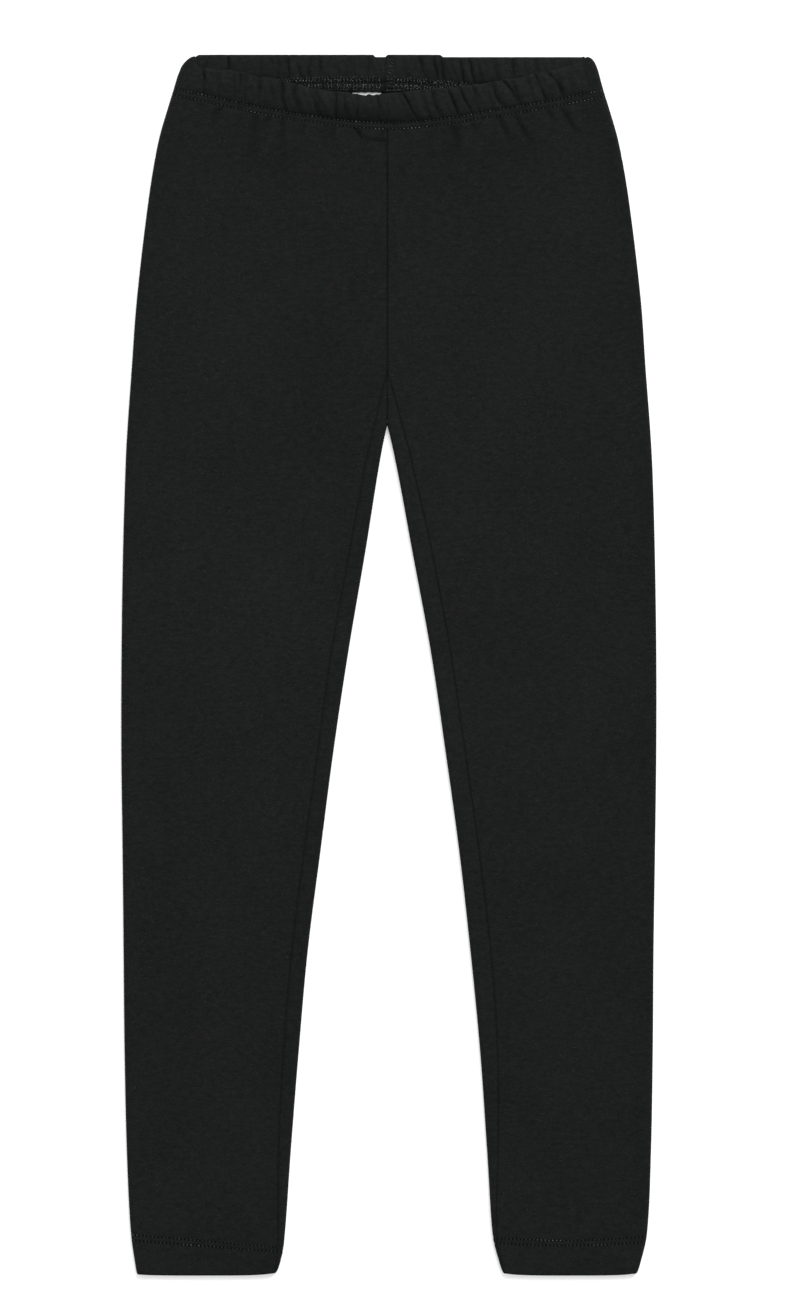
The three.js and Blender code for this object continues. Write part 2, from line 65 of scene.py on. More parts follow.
# Waist casing
WAIST_UP = 945
WAIST_SAG = 26.5
SAG_POWER = 1.1
WAIST_BACK_RISE = 4
CASING_HEIGHT = 27
CASING_FRONT_UNDER = 4
CASING_FOLD_RADIUS = 4.1
CASING_FOLD_CLOTH = 2.8
CASING_CROWN_UP = 25.2
CREASE_FOOT = 5
TOP_START = 10
CORNER_WIDTH = 2
BACK_RISE_FROM = 0.6

# Hems
HEM_UP = 30
HEM_CLOTH = 2.4
CURL_POWER = 10

# How high the front layer lies
FOLD_RADIUS = 2.7
HEM_FOLD_RADIUS = 3
LEG_HEIGHT = 3.7
HEM_HEIGHT = 5.4
WAIST_HEIGHT = 6.4
FOLD_REACH = 8
HEM_FULLNESS_END = 90
HEM_TILT_END = 110
WAIST_SAG_START = 700
WAIST_FOLD_START = 850
WAIST_LIFT_START = 880

# Each leg's outer fold, inner fold and inseam, as x at a height up
OUTLINE_COLUMNS = ("up", "outer", "inner", "seam")
RIGHT_OUTLINE = (
    (0, -201.6, -91.2, -92.4),
    (6, -202.8, -88.8, -90.8),
    (32, -206.6, -84.2, -89.2),
    (100, -209.8, -78.6, -88.8),
    (180, -211.6, -72.2, -84.6),
    (260, -212.4, -65.0, -78.0),
    (340, -213.2, -54.8, -68.0),
    (420, -214.2, -44.4, -57.2),
    (500, -214.0, -32.4, -46.0),
    (580, -212.8, -18.8, -31.6),
    (652, -210.6, -7.2, -18.4),
    (681, -209.0, -1.2, -12.0),
    (723, -206.0, 12, -1.2),
    (780, -201.8, 16, 0),
    (860, -192.4, 16, 0),
    (908, -184.4, 16, 0),
    (940, -175.6, 16, 0),
    (954, -171.1, 16, 0),
    (959, -169.4, 16, 0),
    (963, -167.4, 16, 0),
    (966, -165.7, 16, 0),
    (969, -162.5, 16, 0),
    (972, -158.3, 16, 0),
    (976, -152.5, 16, 0),
)
LEFT_OUTLINE = (
    (0, 198.0, 91.6, 93.0),
    (6, 200.2, 89.2, 90.2),
    (32, 206.2, 83.0, 85.6),
    (100, 209.4, 78.2, 86.8),
    (180, 210.8, 72.6, 86.4),
    (260, 211.4, 64.8, 80.8),
    (340, 212.6, 55.8, 71.4),
    (420, 213.6, 44.8, 60.2),
    (500, 213.6, 33.0, 48.4),
    (580, 212.4, 18.2, 33.6),
    (643, 210.6, 6.6, 19.4),
    (681, 208.4, -2.0, 11.0),
    (723, 205.2, -15, -2.0),
    (780, 201.2, -19, -3.2),
    (860, 191.6, -19, -3.2),
    (908, 183.4, -19, -3.2),
    (940, 174.8, -19, -3.2),
    (954, 170.2, -19, -3.2),
    (963, 167.2, -19, -3.2),
    (967, 165.3, -19, -3.2),
    (970, 163.1, -19, -3.2),
    (972, 160.8, -19, -3.2),
    (976, 155.5, -19, -3.2),
)

# Creases of the gathered casing: x at its top edge, half way down and at the needle rows, depth, half width
RIGHT_FRONT_CREASES = (
    (-148.2, -147.8, -147.0, 1.0, 1.5),
    (-137.0, -136.6, -136.0, 0.3, 2.5),
    (-124.0, -123.8, -123.4, 0.5, 1.7),
    (-119.0, -119.4, -120.2, 0.7, 1.6),
    (-114.4, -115.0, -115.8, 0.7, 1.8),
    (-102.3, -104.2, -103.6, 0.8, 2.0),
    (-94.5, -94.0, -93.0, 0.3, 2.6),
    (-85.8, -85.1, -82.6, 1.2, 2.2),
    (-74.2, -75.5, -69.8, 0.9, 2.8),
    (-62.2, -59.4, -55.8, 0.7, 2.8),
    (-59.0, -56.6, -53.8, 0.6, 1.6),
    (-43.0, -42.4, -43.0, 1.0, 1.5),
    (-36.0, -35.2, -34.2, 0.5, 1.8),
    (-25.1, -25.6, -26.4, 0.5, 2.2),
    (-9.8, -8.6, -7.3, 0.7, 2.2),
)
LEFT_FRONT_CREASES = (
    (10.2, 16.6, 23.7, 1.0, 1.9),
    (7.0, 11.4, 17.0, 0.5, 2.2),
    (25.6, 29.2, 32.6, 0.5, 2.0),
    (32.6, 36.6, 40.9, 0.8, 2.2),
    (45.4, 51.4, 54.2, 1.0, 1.9),
    (55.4, 60.8, 65.8, 1.0, 1.9),
    (66.4, 69.2, 72.2, 0.7, 2.0),
    (82.3, 85.5, 91.9, 1.0, 2.0),
    (89.4, 98.6, 102.6, 1.0, 2.0),
    (96.2, 100.8, 105.0, 0.6, 1.8),
    (109.8, 113.0, 116.2, 0.6, 2.0),
    (115.5, 121.0, 125.0, 0.9, 1.8),
    (78.5, 80.5, 83.0, 0.6, 1.6),
    (125.7, 134.6, 138.5, 1.1, 2.2),
    (144.2, 145.0, 145.8, 0.4, 2.0),
    (155.0, 157.8, 160.2, 0.5, 1.8),
)
RIGHT_BACK_CREASES = (
    (-142.8, -147.4, -153.0, 0.5, 2.0),
    (-128.6, -128.6, -128.6, 0.9, 1.4),
    (-120.2, -120.4, -120.8, 0.5, 1.8),
    (-101.7, -102.4, -103.0, 0.5, 2.2),
    (-88.9, -88.6, -88.3, 0.6, 1.5),
    (-80.6, -80.6, -80.6, 1.0, 1.4),
    (-71.8, -72.6, -67.8, 0.6, 2.0),
    (-63.0, -63.8, -64.7, 0.8, 2.6),
    (-54.5, -55.2, -55.8, 0.8, 1.9),
    (-47.4, -48.4, -49.4, 0.5, 1.9),
    (-40.6, -39.8, -39.2, 0.4, 1.9),
    (-31.0, -33.8, -36.6, 0.5, 2.0),
    (-16.6, -16.6, -16.6, 0.5, 2.4),
)
LEFT_BACK_CREASES = (
    (13.0, 13.5, 14.0, 0.4, 2.4),
    (23.0, 26.5, 30.0, 0.7, 2.0),
    (35.1, 37.0, 39.0, 1.0, 1.8),
    (40.2, 42.4, 44.7, 1.2, 1.8),
    (57.4, 57.8, 60.5, 1.0, 1.7),
    (63.2, 65.6, 68.2, 0.8, 1.7),
    (70.6, 72.0, 73.4, 0.6, 1.9),
    (85.0, 85.5, 86.0, 0.5, 2.2),
    (98.2, 99.2, 100.2, 1.0, 1.9),
    (117.0, 117.5, 118.0, 0.5, 2.2),
    (130.0, 132.0, 134.0, 0.5, 2.2),
    (142.5, 147.2, 152.0, 0.4, 2.2),
)

# Folds that run down from the casing: x at the seam, sideways run, length, depth and half width
RIGHT_FOLDS = (
    (-150, -2.4, 8, 0.9, 2.4),
    (-134, -9.6, 24, 1.7, 3.0),
    (-106, -3, 24, 1.2, 2.2),
    (-109, -3, 75, 0.8, 6.0),
    (-95.3, -8.4, 17, 1.7, 2.2),
    (-85.1, -1.5, 36, 1.2, 2.0),
    (-88, -1, 75, 0.5, 6.0),
    (-67.8, -4.7, 16, 1.3, 2.4),
    (-43.8, -3, 20, 1.4, 2.2),
    (-50, -2, 36, 0.8, 4.0),
    (-24, 5, 40, 0.7, 4.0),
    (-3.6, 0, 34, 0.8, 1.5),
)
LEFT_FOLDS = (
    (14, 1, 16, 0.7, 2.4),
    (36, -3, 22, 0.7, 3.2),
    (49.5, 3.5, 16, 1.3, 2.2),
    (55.4, -3.4, 34, 1.1, 2.2),
    (51, -8, 62, 0.7, 6.0),
    (65.8, 4, 14, 1.4, 2.2),
    (74.3, -5.7, 12, 1.1, 2.2),
    (88, 8.6, 26, 1.6, 2.2),
    (99.8, 15, 30, 1.6, 1.9),
    (113.4, 2, 9, 0.8, 1.6),
    (107, 12, 60, 0.6, 5.0),
    (126.2, 4.8, 14, 1.1, 2.2),
    (136.5, 19, 34, 1.5, 1.9),
)
FOLD_FULL = 0.35
FOLD_AT_ROW = 0.1
FOLD_START = 4
FOLD_LIP = 0.45
FOLD_LIP_OFF = 1.7

# The centre seam's allowance under the needle rows: its ends, its length down from them, and its height
LUMP = {"left": -27, "lean": 0.7, "right": -5.4, "length": 8.0, "height": 0.8}
# How its edges slope, and the width and strength of the line round it, sunk and painted dark as shade
LUMP_EDGE = {"left": 2.5, "right": (1, 4), "foot": (-1.5, 1)}
LUMP_LINE = {"left": 1.5, "right": 0.9, "foot": 1.2, "below_foot": 0.8, "faint": 0.8, "groove": 0.5}

# Broad soft swells of the front layer: x, up, half width, half length, height and turn in degrees
SWELLS = (
    (-120, 842, 34, 46, 0.35, 20),
    (-58, 800, 22, 60, -0.30, -12),
    (-150, 700, 26, 90, 0.32, 6),
    (-90, 640, 20, 80, -0.28, -14),
    (-40, 705, 14, 44, 0.30, -22),
    (-128, 540, 24, 90, 0.30, -8),
    (-172, 430, 16, 110, -0.26, 3),
    (-110, 380, 20, 70, 0.30, 12),
    (-140, 250, 24, 80, 0.28, -10),
    (-176, 150, 15, 70, -0.24, 4),
    (-120, 92, 16, 40, 0.30, 8),
    (46, 850, 26, 50, -0.28, 10),
    (110, 812, 26, 70, 0.35, -16),
    (160, 720, 22, 70, -0.28, -6),
    (92, 690, 26, 70, 0.32, 14),
    (34, 700, 14, 46, 0.28, 24),
    (150, 560, 22, 90, 0.30, 8),
    (96, 480, 18, 80, -0.26, 14),
    (140, 380, 24, 80, 0.32, -8),
    (176, 280, 16, 80, -0.26, -4),
    (122, 220, 18, 70, 0.30, 6),
    (160, 110, 18, 50, 0.26, -8),
    (112, 70, 12, 36, -0.22, 6),
)

# Broad lighter and darker areas of the front: x, up, half width, half length and how much lighter
SHADES = (
    (-38, 700, 46, 80, -0.07),
    (80, 710, 60, 110, 0.05),
    (-120, 560, 70, 120, 0.03),
    (-160, 200, 40, 120, -0.03),
    (150, 420, 50, 130, -0.03),
)

# How far the front casing's top edge drops below its smooth line: x and drop, across the whole front
FRONT_EDGE = (
    (-159, 0), (-155, 4.4), (-151, 5.8), (-145, 5.5), (-134, 4.2), (-127, 2.3), (-121, 1.9), (-115, 0.8),
    (-110, 2.1), (-106, 2.0), (-103, 2.9), (-101, 1.6), (-98, 0.5), (-94, 0.2), (-85, 0), (-75, 1.4),
    (-63, 2.1), (-54, 1.9), (-45, 2.1), (-39, 1.6), (-32, 1.2), (-29, 2.3), (-25.6, 2.0), (-21.2, 2.9),
    (-18.5, 3.0), (-16.3, 1.6), (-13.2, 2.7), (-9.6, 1.3), (-8.3, 1.9), (-6.1, 0.9), (-1.6, 0.9), (5, 0.1),
    (14, -0.2), (21, -1.1), (37, -1.1), (45, -0.4), (49, 0), (55, -0.3), (63, 0), (71, 1.1), (81, 0.6),
    (87, 1.3), (93, 0.6), (97, 1.5), (103, 2.7), (111, 2.2), (115, 1.2), (121, 2.4), (125, 3.0), (133, 3.3),
    (141, 2.7), (155, 2.2), (159, 0.4),
)

# How far the casing's sewn line lies below its smooth line in front: x and drop
ROW_DROP = (
    (-154, 2.8), (-127, 2.5), (-100, 2.3), (-72.6, 2.0), (-59, 1.6), (-32, 2.2), (-4.6, 2.8), (9, 2.8),
    (22.6, 2.4), (50, 1.5), (77, 1.0), (91, 1.5), (104, 2.0), (118, 2.7), (131, 3.4), (145, 3.9), (158, 4.2),
)
DROP_REACH = 40

# The casing's thickness at a height over its sewn edge, and the share of the gathers that reaches there
CASING_UPS = (0.05, 1.2, 2.4, 3.4, 4.4, 6, 8, 12, 17, 22, 25, 27)
CASING_THICKNESS = (2.35, 2.45, 2.5, 2.45, 2.35, 2.6, 2.9, 3.3, 3.5, 3.3, 3.0, 2.8)
CASING_GATHERS = (0.1, 0.2, 0.25, 0.25, 0.3, 0.65, 0.9, 1.0, 1.0, 1.0, 0.95, 0.9)

CENTRE_ALLOWANCE = "centre_seam_allowance"
WAIST_ALLOWANCE = "waist_seam_allowance"
LABEL = {"x": -18, "width": 23, "length": 30, "fold": 0.25, "cloth": 0.3}


def lerp(a, b, t):
    return a + (b - a) * t


def smoothstep(x, start, end):
    t = np.clip((np.asarray(x, float) - start) / (end - start), 0, 1)
    return t * t * (3 - 2 * t)


def bell(x, width):
    return np.exp(-((np.asarray(x, float) / width) ** 2))


def y_of(up):
    return up - LENGTH / 2


def curve(table, column):
    """A smooth curve through one column of an outline table, by its up column."""
    rows = np.array(table, float)
    ups = rows[:, 0]
    values = rows[:, OUTLINE_COLUMNS.index(column)]
    before = np.maximum(np.arange(len(ups)) - 1, 0)
    after = np.minimum(np.arange(len(ups)) + 1, len(ups) - 1)
    slopes = (values[after] - values[before]) / (ups[after] - ups[before])

    def at(up):
        place = np.clip(np.asarray(up, float), ups[0], ups[-1])
        b = np.maximum(np.searchsorted(ups, place), 1)
        a = b - 1
        span = ups[b] - ups[a]
        t = (place - ups[a]) / span
        rise = (3 - 2 * t) * t * t
        leaving = slopes[a] * span * t * (1 - t) * (1 - t)
        arriving = slopes[b] * span * t * t * (1 - t)
        return lerp(values[a], values[b], rise) + leaving - arriving

    return at


class Leg:
    """One leg's sizes. side is -1 for the right leg, at the viewer's left, and 1 for the left leg.

    hem_outer and hem_inner are the heights of the hem's upper row at the outer and the inner fold, and
    hem_sag is how far it sags between them. outer_curl and inner_curl are how far the hem's corners curl up.
    side_rise is how far the back casing rises at the side, over rise_reach as a share of the way to the
    centre, and corner_lift is how far the corner of its top rises.
    """

    def __init__(self, name, side, outline, **sizes):
        self.name = name
        self.side = side
        self.outer, self.inner, self.seam = (curve(outline, column) for column in OUTLINE_COLUMNS[1:])
        self.centre = CENTRE_X + side * CENTRE_GAP / 2
        vars(self).update(sizes)

    def seam_line(self, up):
        """The inseam below the split, and the centre front seam above it."""
        seam = self.seam(up)
        if SEAM_STRAIGHT_UP < up:
            start = self.seam(SEAM_STRAIGHT_UP)
            share = min((up - SEAM_STRAIGHT_UP) / (SPLIT_UP - SEAM_STRAIGHT_UP), 1)
            seam = lerp(start, self.centre, share)
        return min(seam, self.centre) if self.side < 0 else max(seam, self.centre)


RIGHT = Leg(
    "right", -1, RIGHT_OUTLINE,
    folds=RIGHT_FOLDS, front_creases=RIGHT_FRONT_CREASES, back_creases=RIGHT_BACK_CREASES,
    hem_outer=33.3, hem_inner=22.9, hem_sag=0, outer_curl=0.8, inner_curl=1.7,
    side_rise=4, rise_reach=0.042, corner_lift=2.2,
)
LEFT = Leg(
    "left", 1, LEFT_OUTLINE,
    folds=LEFT_FOLDS, front_creases=LEFT_FRONT_CREASES, back_creases=LEFT_BACK_CREASES,
    hem_outer=31.7, hem_inner=30.7, hem_sag=2.4, outer_curl=1.5, inner_curl=1.5,
    side_rise=2.4, rise_reach=0.015, corner_lift=1.7,
)
LEGS = (RIGHT, LEFT)


def fold_radius(up):
    hem = (HEM_FOLD_RADIUS - FOLD_RADIUS) * (1 - smoothstep(up, HEM_UP, HEM_FULLNESS_END))
    waist = (CASING_FOLD_RADIUS - FOLD_RADIUS) * smoothstep(up, WAIST_FOLD_START, WAIST_UP)
    return FOLD_RADIUS + hem + waist


def layer_height(up):
    hem = (HEM_HEIGHT - LEG_HEIGHT) * (1 - smoothstep(up, HEM_UP, HEM_FULLNESS_END))
    waist = (WAIST_HEIGHT - LEG_HEIGHT) * smoothstep(up, WAIST_LIFT_START, WAIST_UP)
    return LEG_HEIGHT + hem + waist


def across_to_centre(leg, x, up):
    """How far across from the side fold to the centre x lies, from 0 to 1."""
    start = leg.outer(up) - leg.side * fold_radius(up)
    return np.clip((x - start) / (CENTRE_X - start), 0, 1)


def front_sag(across):
    return WAIST_SAG * np.sin(across * math.pi / 2) ** SAG_POWER


def back_rise(leg, across):
    full = lerp(leg.side_rise, WAIST_BACK_RISE, smoothstep(across, BACK_RISE_FROM, 1))
    return np.minimum(across / leg.rise_reach, 1) * full


def row_drop(leg, x, front):
    """How far the casing's sewn line lies below its smooth line, in front and round the side fold."""
    xs, drops = np.array(ROW_DROP, float).T
    fold = float(leg.outer(WAIST_UP)) - leg.side * CASING_FOLD_RADIUS
    beyond = 1 - smoothstep(np.abs(x - fold), 0, DROP_REACH)
    return np.where(front, np.interp(x, xs, drops), np.interp(fold, xs, drops) * beyond)


def front_drop(x):
    xs, drops = np.array(FRONT_EDGE, float).T
    return float(np.interp(x, xs, drops))


def hem_line(leg, share):
    """The hem's needle row, at a share of the way from the outer fold to the inner one."""
    return lerp(leg.hem_outer, leg.hem_inner, share) - leg.hem_sag * np.sin(share * math.pi)


# Columns and rows of a leg's grid
ARC_STEPS = 8
FRONT_STEPS = 100
INNER_STEPS = 16
BACK_STEPS = 26
SEAM_STOPS = (-2.2, -1.4, -0.9, -0.5, 0, 0.5, 0.9, 1.4, 2.2)
SEAM_WIDTH = 0.8
ALLOWANCE_OFF = 3.4
ALLOWANCE_WIDTH = 2.2
# Stretches of a leg's height, each with the step between its rows
ROW_STRETCHES = (
    (30, 34, 0.8), (34, 110, 4), (110, 620, 8), (620, 760, 3), (760, 850, 5), (850, 941, 2), (941, 945, 0.8),
)

# A leg's tones: painted light on its side folds, and the cloth darker near the hem
EDGE_LIGHT = 0.25
HEM_TONE = 0.93
HEM_TONE_REACH = (150, 560)
SPLIT_BLEND = 3
ROLL = {"share": 0.4, "at_waist": 1.3, "at_hem": 1.1}
PUCKER_REACH = {"at_waist": 5, "at_hem": 4}
PUCKER_PITCH = 6.2
PUCKER_DRIFT = ((1.4, 11), (0.9, 4.3))


def leg_rows():
    rows = [np.arange(start, end, step) for start, end, step in ROW_STRETCHES]
    return np.concatenate([*rows, [WAIST_UP]])


def relief_of_folds(leg, x, up):
    """The folds below the casing, as troughs with a soft lip on their right, and how deep each point lies in
    a trough, for the painted shade there.
    """
    relief = np.zeros_like(x)
    trough = np.zeros_like(x)
    below = WAIST_UP - up
    for at, run, length, depth, width in leg.folds:
        along = below / length
        off = x - at - run * min(along, 1)
        fade = (1 - smoothstep(along, FOLD_FULL, 1)) * lerp(FOLD_AT_ROW, 1, smoothstep(below, 0, FOLD_START))
        lip = FOLD_LIP * bell(off - FOLD_LIP_OFF * width, width)
        relief += depth * fade * (lip - bell(off, width))
        trough += depth * fade * bell(off, width)
    return relief, trough


def allowance_lump(leg, x, up):
    """The centre seam's allowance, caught by the needle rows: a low lump, and the line round it, sunk and
    painted dark as shade.
    """
    if leg is LEFT:
        return np.zeros_like(x), np.zeros_like(x)
    below = WAIST_UP - up
    left, right, foot = LUMP["left"] + LUMP["lean"] * below, LUMP["right"], LUMP["length"]
    inner, outer = (right + off for off in LUMP_EDGE["right"])
    within = smoothstep(x, left, left + LUMP_EDGE["left"]) * (1 - smoothstep(x, inner, outer))
    top = 1 - smoothstep(below, *(foot + off for off in LUMP_EDGE["foot"]))
    right_line = LUMP_LINE["faint"] * bell(x - right, LUMP_LINE["right"])
    side_lines = np.maximum(bell(x - left, LUMP_LINE["left"]), right_line) * top
    foot_line = LUMP_LINE["faint"] * bell(below - foot - LUMP_LINE["below_foot"], LUMP_LINE["foot"]) * within
    return LUMP["height"] * within * top, np.maximum(side_lines, foot_line)


def relief_of_swells(x, up):
    relief = np.zeros_like(x)
    for at, height, width, length, depth, turn in SWELLS:
        angle = math.radians(turn)
        dx, dy = x - at, up - height
        side = dx * math.cos(angle) + dy * math.sin(angle)
        along = dy * math.cos(angle) - dx * math.sin(angle)
        relief += depth * bell(side, width) * bell(along, length)
    return relief


def pucker(x, pitch=PUCKER_PITCH):
    """Small uneven ripples along a needle row, from -1 to 1."""
    (far, slow), (near, quick) = PUCKER_DRIFT
    return np.sin(2 * math.pi * x / pitch + far * np.sin(x / slow) + near * np.sin(x / quick))


def ring(leg, row, swelling=1):
    """A ring of a leg's outer face: x, z, share across, which face up, distances round and the seam's."""
    radius = float(fold_radius(row))
    outer = float(leg.outer(row)) - leg.side * radius
    inner = float(leg.inner(row)) + leg.side * radius
    width = abs(inner - outer)
    arc = math.pi * radius
    across = (float(leg.seam_line(row)) - outer) * -leg.side
    beyond = min(max(across - width, 0) / radius, 1)
    seam = arc + min(across, width) + radius * math.asin(beyond)
    reach = SEAM_STOPS[-1]
    stops = np.concatenate([
        np.linspace(0, arc, ARC_STEPS, endpoint=False),
        np.linspace(arc, seam - reach, FRONT_STEPS, endpoint=False),
        seam + np.array(SEAM_STOPS[:-1]),
        np.linspace(seam + reach, 2 * arc + width, INNER_STEPS, endpoint=False),
        np.linspace(2 * arc + width, 2 * (arc + width), BACK_STEPS, endpoint=False),
    ])
    on_outer = stops < arc
    on_front = (stops >= arc) & (stops <= arc + width)
    on_inner = (stops > arc + width) & (stops < 2 * arc + width)
    angle = np.where(on_outer, stops / radius - math.pi / 2, math.pi / 2 - (stops - arc - width) / radius)
    bulge = radius * np.cos(angle)
    share = np.where(on_front, (stops - arc) / width, np.where(on_inner, 1.0, 0.0))
    on_back = stops >= 2 * arc + width
    share = np.where(on_back, 1 - (stops - 2 * arc - width) / width, share)
    x = lerp(outer, inner, share)
    x = np.where(on_outer, outer + leg.side * bulge, x)
    x = np.where(on_inner, inner - leg.side * bulge, x)
    rest = float(layer_height(row))
    from_outer = np.abs(x - outer) / FOLD_REACH
    from_inner = np.abs(x - inner) / FOLD_REACH
    fullness = np.exp(-(from_outer**2)) + np.exp(-(from_inner**2))
    height = rest + (2 * radius - rest) * fullness
    z = np.where(on_front, height, radius + radius * np.sin(angle))
    z = np.where(on_back, 0, z)
    inside = smoothstep(from_outer, 0, 1) * smoothstep(from_inner, 0, 1)
    soft = relief_of_swells(x, row) * inside
    z = np.where(on_front, z + swelling * soft, z)
    facing = on_front | ((on_outer | on_inner) & (angle > 0))
    return x, z, share, facing, stops, seam


def edge_light(nz):
    """The painted light on cloth that turns down at a side fold, from its normal's height."""
    return 1 + EDGE_LIGHT * (1 - np.clip(nz, 0, 1)) ** 2


def outwards(x, z, side):
    """Unit normals of a closed ring, across the garment."""
    dx = np.roll(x, -1) - np.roll(x, 1)
    dz = np.roll(z, -1) - np.roll(z, 1)
    size = np.hypot(dx, dz)
    return side * dz / size, -side * dx / size


def seam_relief(sizes, off):
    """A seam's groove, with its allowance as a low ridge beyond it."""
    groove = sizes.seam_depth / MM * bell(off, SEAM_WIDTH)
    ridge = sizes.allowance_height / MM * bell(off - ALLOWANCE_OFF, ALLOWANCE_WIDTH)
    return ridge - groove


def faces_of_grid(stops, rows, closed_stops, closed_rows, flip):
    """Quads of a grid of points [stop][row], and each corner's place in a grid with one more stop and row."""
    i, j = np.meshgrid(
        np.arange(stops if closed_stops else stops - 1),
        np.arange(rows if closed_rows else rows - 1),
        indexing="ij",
    )
    corners = [(i, j), (i + 1, j), (i + 1, j + 1), (i, j + 1)]
    if flip:
        corners = corners[::-1]
    faces = np.stack([(a % stops) * rows + b % rows for a, b in corners], -1).reshape(-1, 4)
    places = np.stack([np.stack([a, b], -1) for a, b in corners], 2).reshape(-1, 4, 2)
    return faces, places


def make_piece(name, points, faces, loop_uvs, shading_and_tone, holes=None):
    """A mesh object from points and cloth UVs in mm, with each point's tone, which carries painted light and
    shade, and its share in a needle hole, whose shadow is painted.
    """
    mesh = bpy.data.meshes.new(name)
    corners = faces if isinstance(faces, list) else faces.tolist()
    mesh.from_pydata((points * MM).tolist(), [], corners)
    if loop_uvs is not None:
        layer = mesh.uv_layers.new(name="cloth")
        layer.data.foreach_set("uv", (loop_uvs * MM).ravel())
    # The tone attribute scales the colour: painted shade and painted light, with some broad lighter and
    # darker areas.
    shade = mesh.attributes.new("shading_and_tone", "FLOAT", "POINT")
    shade.data.foreach_set("value", np.asarray(shading_and_tone, float).ravel())
    if holes is not None:
        rows = mesh.attributes.new("holes", "FLOAT", "POINT")
        rows.data.foreach_set("value", np.asarray(holes, float).ravel())
    mesh.update()
    piece = bpy.data.objects.new(name, mesh)
    bpy.context.collection.objects.link(piece)
    return piece


def select_only(piece):
    bpy.ops.object.select_all(action="DESELECT")
    piece.select_set(True)
    bpy.context.view_layer.objects.active = piece


def smooth(piece, angle=50):
    select_only(piece)
    bpy.ops.object.shade_smooth_by_angle(angle=math.radians(angle))


def solidify(piece, thickness):
    select_only(piece)
    wall = piece.modifiers.new("wall", "SOLIDIFY")
    wall.thickness = thickness
    wall.offset = -1
    wall.use_even_offset = True
    wall.use_quality_normals = True
    bpy.ops.object.modifier_apply(modifier=wall.name)


def dress(piece, material, slot, *nodes):
    """Gives a piece its material and the body that it rides on, and hides the CAD nodes that it stands for.
    """
    piece.data.materials.clear()
    piece.data.materials.append(material)
    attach(piece, BODY)
    if nodes:
        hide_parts(*nodes)


# Shader maths

class Wire:
    """A value from a socket. Python's operators on it add Math nodes."""

    def __init__(self, finish, socket):
        self.finish = finish
        self.socket = socket

    def maths(self, operation, *values):
        return self.finish.node("ShaderNodeMath", {"operation": operation}, dict(enumerate(values)))

    def __add__(self, other):
        return self.maths("ADD", self, other)

    def __radd__(self, other):
        return self.maths("ADD", other, self)

    def __sub__(self, other):
        return self.maths("SUBTRACT", self, other)

    def __rsub__(self, other):
        return self.maths("SUBTRACT", other, self)

    def __mul__(self, other):
        return self.maths("MULTIPLY", self, other)

    def __rmul__(self, other):
        return self.maths("MULTIPLY", other, self)

    def __truediv__(self, other):
        return self.maths("DIVIDE", self, other)

    def __rtruediv__(self, other):
        return self.maths("DIVIDE", other, self)

    def __abs__(self):
        return self.maths("ABSOLUTE", self)

    def sine(self):
        return self.maths("SINE", self)

    def fraction(self):
        return self.maths("FRACT", self)

    def clamp(self):
        return self.maths("MINIMUM", self.maths("MAXIMUM", self, 0.0), 1.0)

    def part(self, axis):
        return self.finish.node("ShaderNodeSeparateXYZ", {}, {0: self}, axis)


class Finish:
    """A material and its nodes."""

    def __init__(self, name):
        self.material = bpy.data.materials.new(name)
        self.material.use_nodes = True
        self.tree = self.material.node_tree
        self.shader = self.tree.nodes["Principled BSDF"]

    def node(self, kind, settings, inputs, output=0):
        made = self.tree.nodes.new(kind)
        for name, value in settings.items():
            setattr(made, name, value)
        for name, value in inputs.items():
            self.feed(made.inputs[name], value)
        return Wire(self, made.outputs[output])

    def feed(self, socket, value):
        if isinstance(value, Wire):
            self.tree.links.new(value.socket, socket)
        else:
            socket.default_value = value

    def noise(self, name, place):
        scale, detail, roughness = NOISE[name]
        inputs = {"Vector": place, "Scale": scale, "Detail": detail, "Roughness": roughness}
        return self.node("ShaderNodeTexNoise", {}, inputs)

    def scaled(self, vector, size):
        inputs = {0: vector, 1: size}
        return self.node("ShaderNodeVectorMath", {"operation": "MULTIPLY"}, inputs)

    def mix(self, factor, a, b):
        """A colour from a at 0 to b at 1."""
        a, b = (colour if isinstance(colour, Wire) else (*colour, 1) for colour in (a, b))
        inputs = {MIX_FACTOR: factor, MIX_A: a, MIX_B: b}
        return self.node("ShaderNodeMix", {"data_type": "RGBA"}, inputs, MIX_RESULT)

    def spread(self, value, width):
        """A value drawn out round its middle, within 0 and 1."""
        return ((value - 0.5) * width + 0.5).clamp()

    def attribute(self, name):
        return self.node("ShaderNodeAttribute", {"attribute_name": name}, {}, "Fac")

    def place(self):
        return self.node("ShaderNodeTexCoord", {}, {}, "Object")

    def weave(self):
        """The place on the flat cloth."""
        return self.node("ShaderNodeUVMap", {"uv_map": "cloth"}, {})

    def dimmed(self, colour, level):
        return self.node("ShaderNodeVectorMath", {"operation": "SCALE"}, {0: colour, "Scale": level})

    def bump(self, height, distance, strength):
        inputs = {"Height": height, "Distance": distance, "Strength": strength}
        return self.node("ShaderNodeBump", {}, inputs)

    def set(self, **values):
        for name, value in values.items():
            self.feed(self.shader.inputs[name.replace("_", " ")], value)


# Sockets of the colour mix
MIX_FACTOR = 0
MIX_A = 6
MIX_B = 7
MIX_RESULT = 2
# Each noise's scale, detail and roughness
NOISE = {
    "nap": (720.0, 3.0, 0.65),
    "clumps": (250.0, 2.0, 0.5),
    "clouds": (26.0, 3.0, 0.55),
    "drift": (9.0, 2.0, 0.5),
    "hue": (130.0, 2.0, 0.6),
    "fibre": (1150.0, 1.0, 0.5),
    "strands": (2400.0, 2.0, 0.6),
    "uneven": (260.0, 2.0, 0.5),
    "fuzz": (900.0, 2.0, 0.5),
    "grain": (40.0, 3.0, 0.5),
}

